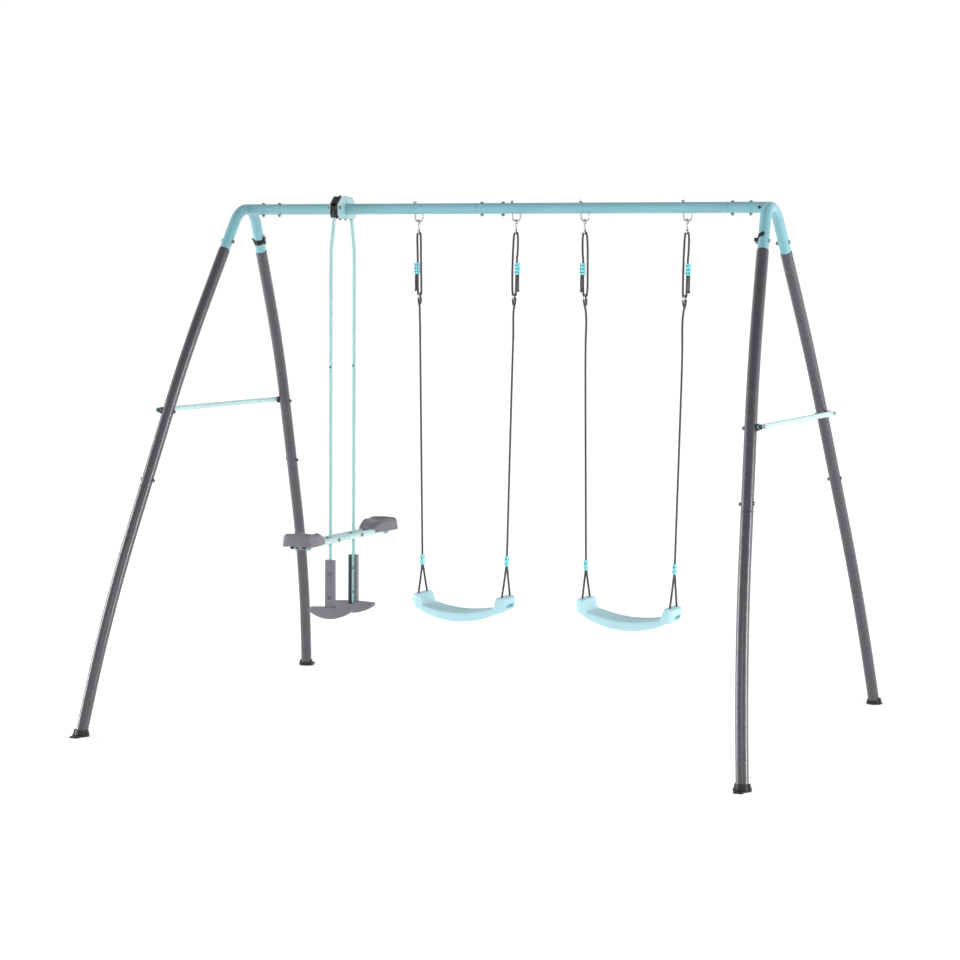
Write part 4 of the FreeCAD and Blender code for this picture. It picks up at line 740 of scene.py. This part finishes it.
def glider_seat(sy, nm):
    def tab(t, pts):
        k = 0
        while k < len(pts) - 2 and t > pts[k + 1][0]:
            k += 1
        (a, va), (b, vb) = pts[k], pts[k + 1]
        sec = (vb - va) / (b - a)
        sa = (vb - pts[k - 1][1]) / (b - pts[k - 1][0]) if k > 0 else sec
        sb = (pts[k + 2][1] - va) / (pts[k + 2][0] - a) if k + 2 < len(pts) else sec
        f, w = (t - a) / (b - a), b - a
        return (va * (1 + 2 * f) * (1 - f) ** 2 + w * sa * f * (1 - f) ** 2 + vb * f * f * (3 - 2 * f) + w * sb * f * f * (f - 1))

    ys = [250.0, 250.6, 251.8, 254, 257, 261, 265]
    y = 265
    while y < 424:
        y += 4
        ys.append(y)
    ys += [428, 431, 434, 436.5, 438.3, 439.4, 440.0]
    ys = sorted(set(ys))
    rings = []
    for y in ys:
        hw = tab(y, [(250, 39), (253, 42), (258, 44.5), (270, 48), (300, 55), (330, 62), (360, 67.5), (390, 69.8), (424, 69.2), (433, 66), (438, 59), (440, 53)])
        zt = tab(y, [(250, 741), (253, 746), (258, 750), (270, 756.5), (284, 762.5), (304, 769.5), (330, 774.5), (368, 772.5), (405, 774), (424, 777), (433, 775.5), (438, 769), (440, 762)])
        zb = 724.6
        r = min(19.0, (zt - zb) * 0.42)
        ring = []
        nb = 14
        for i in range(nb + 1):
            ring.append(Vector((-(hw - 2) + 2 * (hw - 2) * i / nb, y, zb)))
        side = []
        hgt = zt - r - zb
        for i in range(1, 15):
            f = i / 15
            z = zb + hgt * f
            lip = 1.4 if f < 0.12 else 0.0
            rib = 0.0
            for c in (0.42, 0.74):
                rib += -1.5 / (1 + math.exp((c - f) * 34))
            side.append((hw - 1.2 + lip * 0.4 + rib + 1.2 * (1 - f), z))
        for xx, zz in side:
            ring.append(Vector((xx, y, zz)))
        xr = side[-1][0]
        for i in range(0, 9):
            a = rad(90 * i / 8)
            ring.append(Vector((xr - r + r * math.cos(a), y, zt - r + r * math.sin(a))))
        nt = 28
        flat = xr - r
        for i in range(1, nt):
            x = flat - 2 * flat * i / nt
            dish = -8.6 * math.cos(math.pi * x / (2 * flat)) ** 1.3 if flat > 1 and abs(x) < flat else 0
            ka, kb = max(0.0, min(1.0, (y - 272) / 62)), max(0.0, min(1.0, (434 - y) / 34))
            k = ka * ka * (3 - 2 * ka) * kb * kb * (3 - 2 * kb)
            ring.append(Vector((x, y, zt + dish * k + 2.2 * math.cos(math.pi * x / (2 * flat)) * (1 - k))))
        for i in range(0, 9):
            a = rad(90 + 90 * i / 8)
            ring.append(Vector((-(xr - r) + r * math.cos(a), y, zt - r + r * math.sin(a))))
        for xx, zz in reversed(side):
            ring.append(Vector((-xx, y, zz)))
        rings.append(ring)
    rings = [[Vector((v.x + GX, v.y * sy, v.z)) for v in r] for r in rings]
    ob = mesh_ob("glider_seat_%s_shell" % nm, *loft(rings), M["grey_plastic"])
    place(ob, Matrix.Scale(MM, 4))
    cutters = []
    inner = [(-55, 431), (55, 431), (61, 424), (61, 356), (48, 300), (42, 277), (-42, 277), (-48, 300), (-61, 356), (-61, 424)]
    cutters.append(place(prism("c", [(GX + x, sy * y) for x, y in inner], ((1, 0, 0), (0, 1, 0), (0, 0, 1)), (0, 0, 700), 41.5), Matrix.Scale(MM, 4)))
    for sg in (-1, 1):
        xc = GX + sg * 27
        prof = arc2(0, 0, 13.6, 0, 180, 14) + [(-13.6, -30), (13.6, -30)]
        cutters.append(place(prism("c", prof, ((1, 0, 0), (0, 0, 1), (0, 1, 0)), (xc, min(sy * 240, sy * 424), 727), 184), Matrix.Scale(MM, 4)))
    # scallops along the skirt
    for sg in (-1, 1):
        for k in range(5):
            yy = sy * (345 + 17 * k)
            cutters.append(place(rod("c", (GX + sg * 57, yy, 721.4), (GX + sg * 80, yy, 721.4), 6.4, 24), Matrix.Scale(MM, 4)))
    for k in range(-2, 3):
        cutters.append(place(rod("c", (GX + k * 17.5, sy * 430, 721.4), (GX + k * 17.5, sy * 446, 721.4), 6.4, 24), Matrix.Scale(MM, 4)))
    carve(ob, cutters)
    return ride(ob, "glider_carriage", ("glider_seat_%s" % nm,))


glider_seat(-1, "front")
glider_seat(1, "back")


# ------------------------------------------------------------------ footrests
def footrest(sy, nm, body):
    def dn(y):
        return sy * (115.0 + y)
    hf, lv, lo_ = 94.0, 443.0, 394.0
    # crescent bar with blunt rounded ends
    out = []
    R = (hf ** 2 + (lv - 16 - lo_) ** 2) / (2 * (lv - 16 - lo_))
    a = math.degrees(math.asin(hf / R))
    out += [(R * math.sin(rad(-a + 2 * a * i / 40)), lo_ + R - R * math.cos(rad(-a + 2 * a * i / 40))) for i in range(41)]
    out += [(hf, lv - 8), (hf - 3, lv - 4)]
    out += [(hf - 4 - (2 * hf - 8) * i / 24, lv - 4 + 3.4 * math.sin(math.pi * i / 24)) for i in range(1, 24)]
    out += [(-hf + 3, lv - 4), (-hf, lv - 8)]
    foot = prism("footrest_%s_pad" % nm, [(GX + x, z) for x, z in out], ((1, 0, 0), (0, 0, 1), (0, 1, 0)), (0, min(dn(-20), dn(20)), 0), 40.0, M["grey_plastic"])
    # sleeve: channel open away from its closed face, slightly wider at its foot
    o, i_ = 12.5, 8.4
    prof = [(-19, -12), (-19, o), (19, o), (19, -12), (15.4, -12), (15.4, i_), (-15.4, i_), (-15.4, -12)]
    rings = []
    for z, k in ((lv - 8, 1.03), (470, 1.02), (560, 1.0), (641, 0.985)):
        rings.append([Vector((GX + x * (k if abs(x) > 16 else 1.0), dn(y), z)) for x, y in prof])
    sl = mesh_ob("sleeve", *loft(rings), M["grey_plastic"], smooth=False)
    carve(foot, [sl], "UNION")
    cut = [rod("c", (GX, dn(0), 427.4), (GX, dn(0), 470), 8.5, 40)]
    cut += [rod("c", (GX, dn(-30), z), (GX, dn(30), z), 2.8, 20) for z in (583.0, 482.0)]
    cut += [rod("c", (GX, dn(10.8), z), (GX, dn(14), z), 6.6, 28) for z in (583.0, 482.0)]
    # channel floor in the bar stays open on the tube's side
    cut.append(prism("c", [(GX - 15.4, lv - 12), (GX + 15.4, lv - 12), (GX + 15.4, lv + 6), (GX - 15.4, lv + 6)], ((1, 0, 0), (0, 0, 1), (0, 1, 0)), (0, min(dn(-26), dn(8.4)), 0), 34.4))
    carve(foot, cut)
    place(foot, Matrix.Scale(MM, 4))
    bevel(foot, 0.0022, 3, 40)
    # a black disc at the floor of each bolt recess, behind the zinc dome: painted shade for the dark recess
    for k, z in enumerate((583.0, 482.0)):
        recess_shade_disc = rod("footrest_%s_cup_%d" % (nm, k), (GX, dn(10.9), z), (GX, dn(11.5), z), 6.45, 32, 6.45, M["black_plastic"])
        dome = rod("footrest_%s_dome_%d" % (nm, k), (GX, dn(11.4), z), (GX, dn(14.2), z), 4.4, 32, 2.7, M["zinc"])
        for x, sl_ in ((recess_shade_disc, "black_plastic"), (dome, "zinc")):
            place(x, Matrix.Scale(MM, 4))
            ride(x, body, ("footrest_%s" % nm,))
    return ride(foot, body, ("footrest_%s" % nm,))


footrest(-1, "front", "glider_front_hanger")
footrest(1, "back", "glider_back_hanger")


# ------------------------------------------------------------------ straps on two arms
def strap(name, sx, sy, face, th0, th1, up0, up1, half, lugs, tails):
    """open band of webbing round an arm; angles run from the side that faces out to the front towards -X"""
    lam, a1 = rad(5.72), rad(31.1)
    w0, yy = 174.9, 171.28
    o = Vector((sx * (1144.0 + w0 * math.sin(lam)), sy * yy, 2100.0 - w0 * math.cos(lam)))
    t = Vector((sx * math.cos(a1) * math.sin(lam), sy * math.sin(a1), -math.cos(a1) * math.cos(lam))).normalized()
    c = o - t * 64.0
    f = Vector(face)
    f = (f - t * f.dot(t)).normalized()
    l = t.cross(f).normalized()
    if l.x > 0:
        l = -l

    def at(th, up):
        th = rad(th)
        return c - t * up, f * math.cos(th) + l * math.sin(th), l * math.cos(th) - f * math.sin(th)

    rings = []
    for i in range(65):
        u = i / 64
        p, d, _ = at(th0 + (th1 - th0) * u, up0 + (up1 - up0) * math.sin(u * math.pi / 2))
        h = half * min(1.0, 0.8 + 9 * (1 - u), 0.45 + 4 * u)
        wob = 0.25 * math.sin(9 * u)
        rings.append([p + d * 22.3 - t * h, p + d * (23.7 + wob) - t * (h - 0.4), p + d * (24.0 + wob), p + d * (23.7 + wob) + t * (h - 0.4), p + d * 22.3 + t * h])
    out = [mesh_ob(name, *loft(rings), M["strap"], angle=50)]
    for k, (th, up, w, h, thick, mat) in enumerate(lugs):
        p, d, tg = at(th, up)
        w, h = w / 2, h / 2
        lug = prism("%s_lug_%d" % (name, k), [(-w + 1.2, -h), (w - 1.2, -h), (w, -h + 1.5), (w, h - 1.5), (w - 1.2, h), (-w + 1.2, h), (-w, h - 1.5), (-w, -h + 1.5)],
                    (tuple(tg), tuple(t), tuple(d)), tuple(p + d * 22.4), thick, M[mat])
        out.append(lug)
    for k, (th, up, tx, ux, ln, w) in enumerate(tails):
        p, d, tg = at(th, up)
        e = (tg * tx - t * ux + d * 0.22).normalized()
        wv = d.cross(e).normalized()
        nn = e.cross(wv).normalized()
        rr = []
        for i in range(11):
            u = i / 10
            q = p + d * (23.6 + 2.0 * math.sin(u * 2.6)) + e * (ln * u)
            h = (w / 2) * (1 - 0.78 * u ** 1.3)
            rr.append([q - wv * h - nn * 0.7, q + wv * h - nn * 0.7, q + wv * h + nn * 0.7, q - wv * h + nn * 0.7])
        out.append(mesh_ob("%s_tail_%d" % (name, k), *loft(rr), M["strap"], angle=50))
    for x in out:
        place(x, Matrix.Scale(MM, 4))
        ride(x, "frame", ("arm_straps",))


strap("strap_front_right", 1, -1, (0.267, -0.963, 0.0), 112, 0, -13, 3, 9.5, [(92, -12, 11, 13, 14.0, "black_plastic")], [])
strap("strap_back_left", -1, 1, (0.46, -0.89, 0.0), 178, -178, -9, -9, 11.0, [(6, -25, 16, 8, 4.5, "zinc"), (-62, -7, 13, 20, 5.0, "black_plastic"), (40, -10, 16, 22, 3.4, "black_plastic")],
      [(84, -2, 1.0, 0.35, 18.0, 14.0), (-80, -6, -1.0, 0.15, 19.0, 14.0), (-48, 2, -0.2, 1.0, 24.0, 9.0)])


# ------------------------------------------------------------------ softened edges on carried-over nodes
def soften(node, width, angle=32):
    ob = NODES[node]
    w = ob.modifiers.new("weld", "WELD")
    w.merge_threshold = 1e-6
    b = ob.modifiers.new("bevel", "BEVEL")
    b.width, b.segments, b.limit_method, b.angle_limit = width, 2, "ANGLE", rad(angle)
    b.use_clamp_overlap = True
    for p in ob.data.polygons:
        p.use_smooth = True
    wn = ob.modifiers.new("normals", "WEIGHTED_NORMAL")
    wn.keep_sharp = False


for nd in ("glider_block_front", "glider_block_back"):
    soften(nd, 0.0012, 25)
for nd in ("glider_plates", "glider_seat_plates"):
    soften(nd, 0.0005, 40)


# ------------------------------------------------------------------ floor, light
def stage():
    verts = [(-60, -60, -0.0002), (60, -60, -0.0002), (60, 60, -0.0002), (-60, 60, -0.0002)]
    faces = [(0, 1, 2, 3)]
    m = Mat("studio_floor")
    c = m.ramp(m.noise(0.6, 3.0), [(0.3, (0.84, 0.84, 0.84)), (0.7, (0.86, 0.86, 0.86))])
    m.set(color=c, rough=0.8, spec=0.1)
    # the floor glows: painted light from its emission, 0.46 near the middle rising to 0.64 past 7 m, so it lights
    # things from below and the far floor meets the bright world
    m.b.inputs["Emission Color"].default_value = (1, 1, 1, 1)
    far = m.n("ShaderNodeVectorMath", operation="LENGTH")
    m.l(m.tc.outputs["Object"], far.inputs[0])
    m.l(m.mrange(far.outputs["Value"], 2.5, 7.0, 0.46, 0.64), m.b.inputs["Emission Strength"])
    m.bump(m.noise(60.0, 3.0), 0.02, 0.001)
    ob = mesh_ob("studio_floor", verts, faces, m.m)


stage()


def area(name, loc, target, size, power, color=(1, 1, 1), size_y=None):
    li = bpy.data.lights.new(name, "AREA")
    li.shape = "RECTANGLE"
    li.size, li.size_y = size, size_y or size
    li.energy = power
    li.color = color
    ob = link(bpy.data.objects.new(name, li))
    ob.location = loc
    ob.rotation_euler = (Vector(target) - Vector(loc)).to_track_quat("-Z", "Y").to_euler()
    return ob


area("strip_left", (-7.8, -2.2, 2.2), (0, 0, 1.0), 1.5, 330.0, size_y=4.4)
area("strip_right", (8.8, 0.6, 2.2), (0, 0, 1.0), 1.5, 360.0, size_y=4.4)
area("front_soft", (3.5, -8.5, 4.6), (0, 0, 1.0), 3.0, 60.0)

world = bpy.data.worlds.new("studio_world")
SC.world = world
world.use_nodes = True
wt = world.node_tree
bg = wt.nodes["Background"]
tc = wt.nodes.new("ShaderNodeTexCoord")
sep = wt.nodes.new("ShaderNodeSeparateXYZ")
wt.links.new(tc.outputs["Generated"], sep.inputs[0])
mr = wt.nodes.new("ShaderNodeMapRange")
mr.inputs[1].default_value, mr.inputs[2].default_value = 0.12, 0.85
mr.inputs[3].default_value, mr.inputs[4].default_value = 1.02, 0.42
mr.interpolation_type = "SMOOTHSTEP"
wt.links.new(sep.outputs["Z"], mr.inputs[0])
wt.links.new(mr.outputs[0], bg.inputs["Strength"])
bg.inputs["Color"].default_value = (1, 1, 1, 1)
SC.view_settings.view_transform = "Standard"
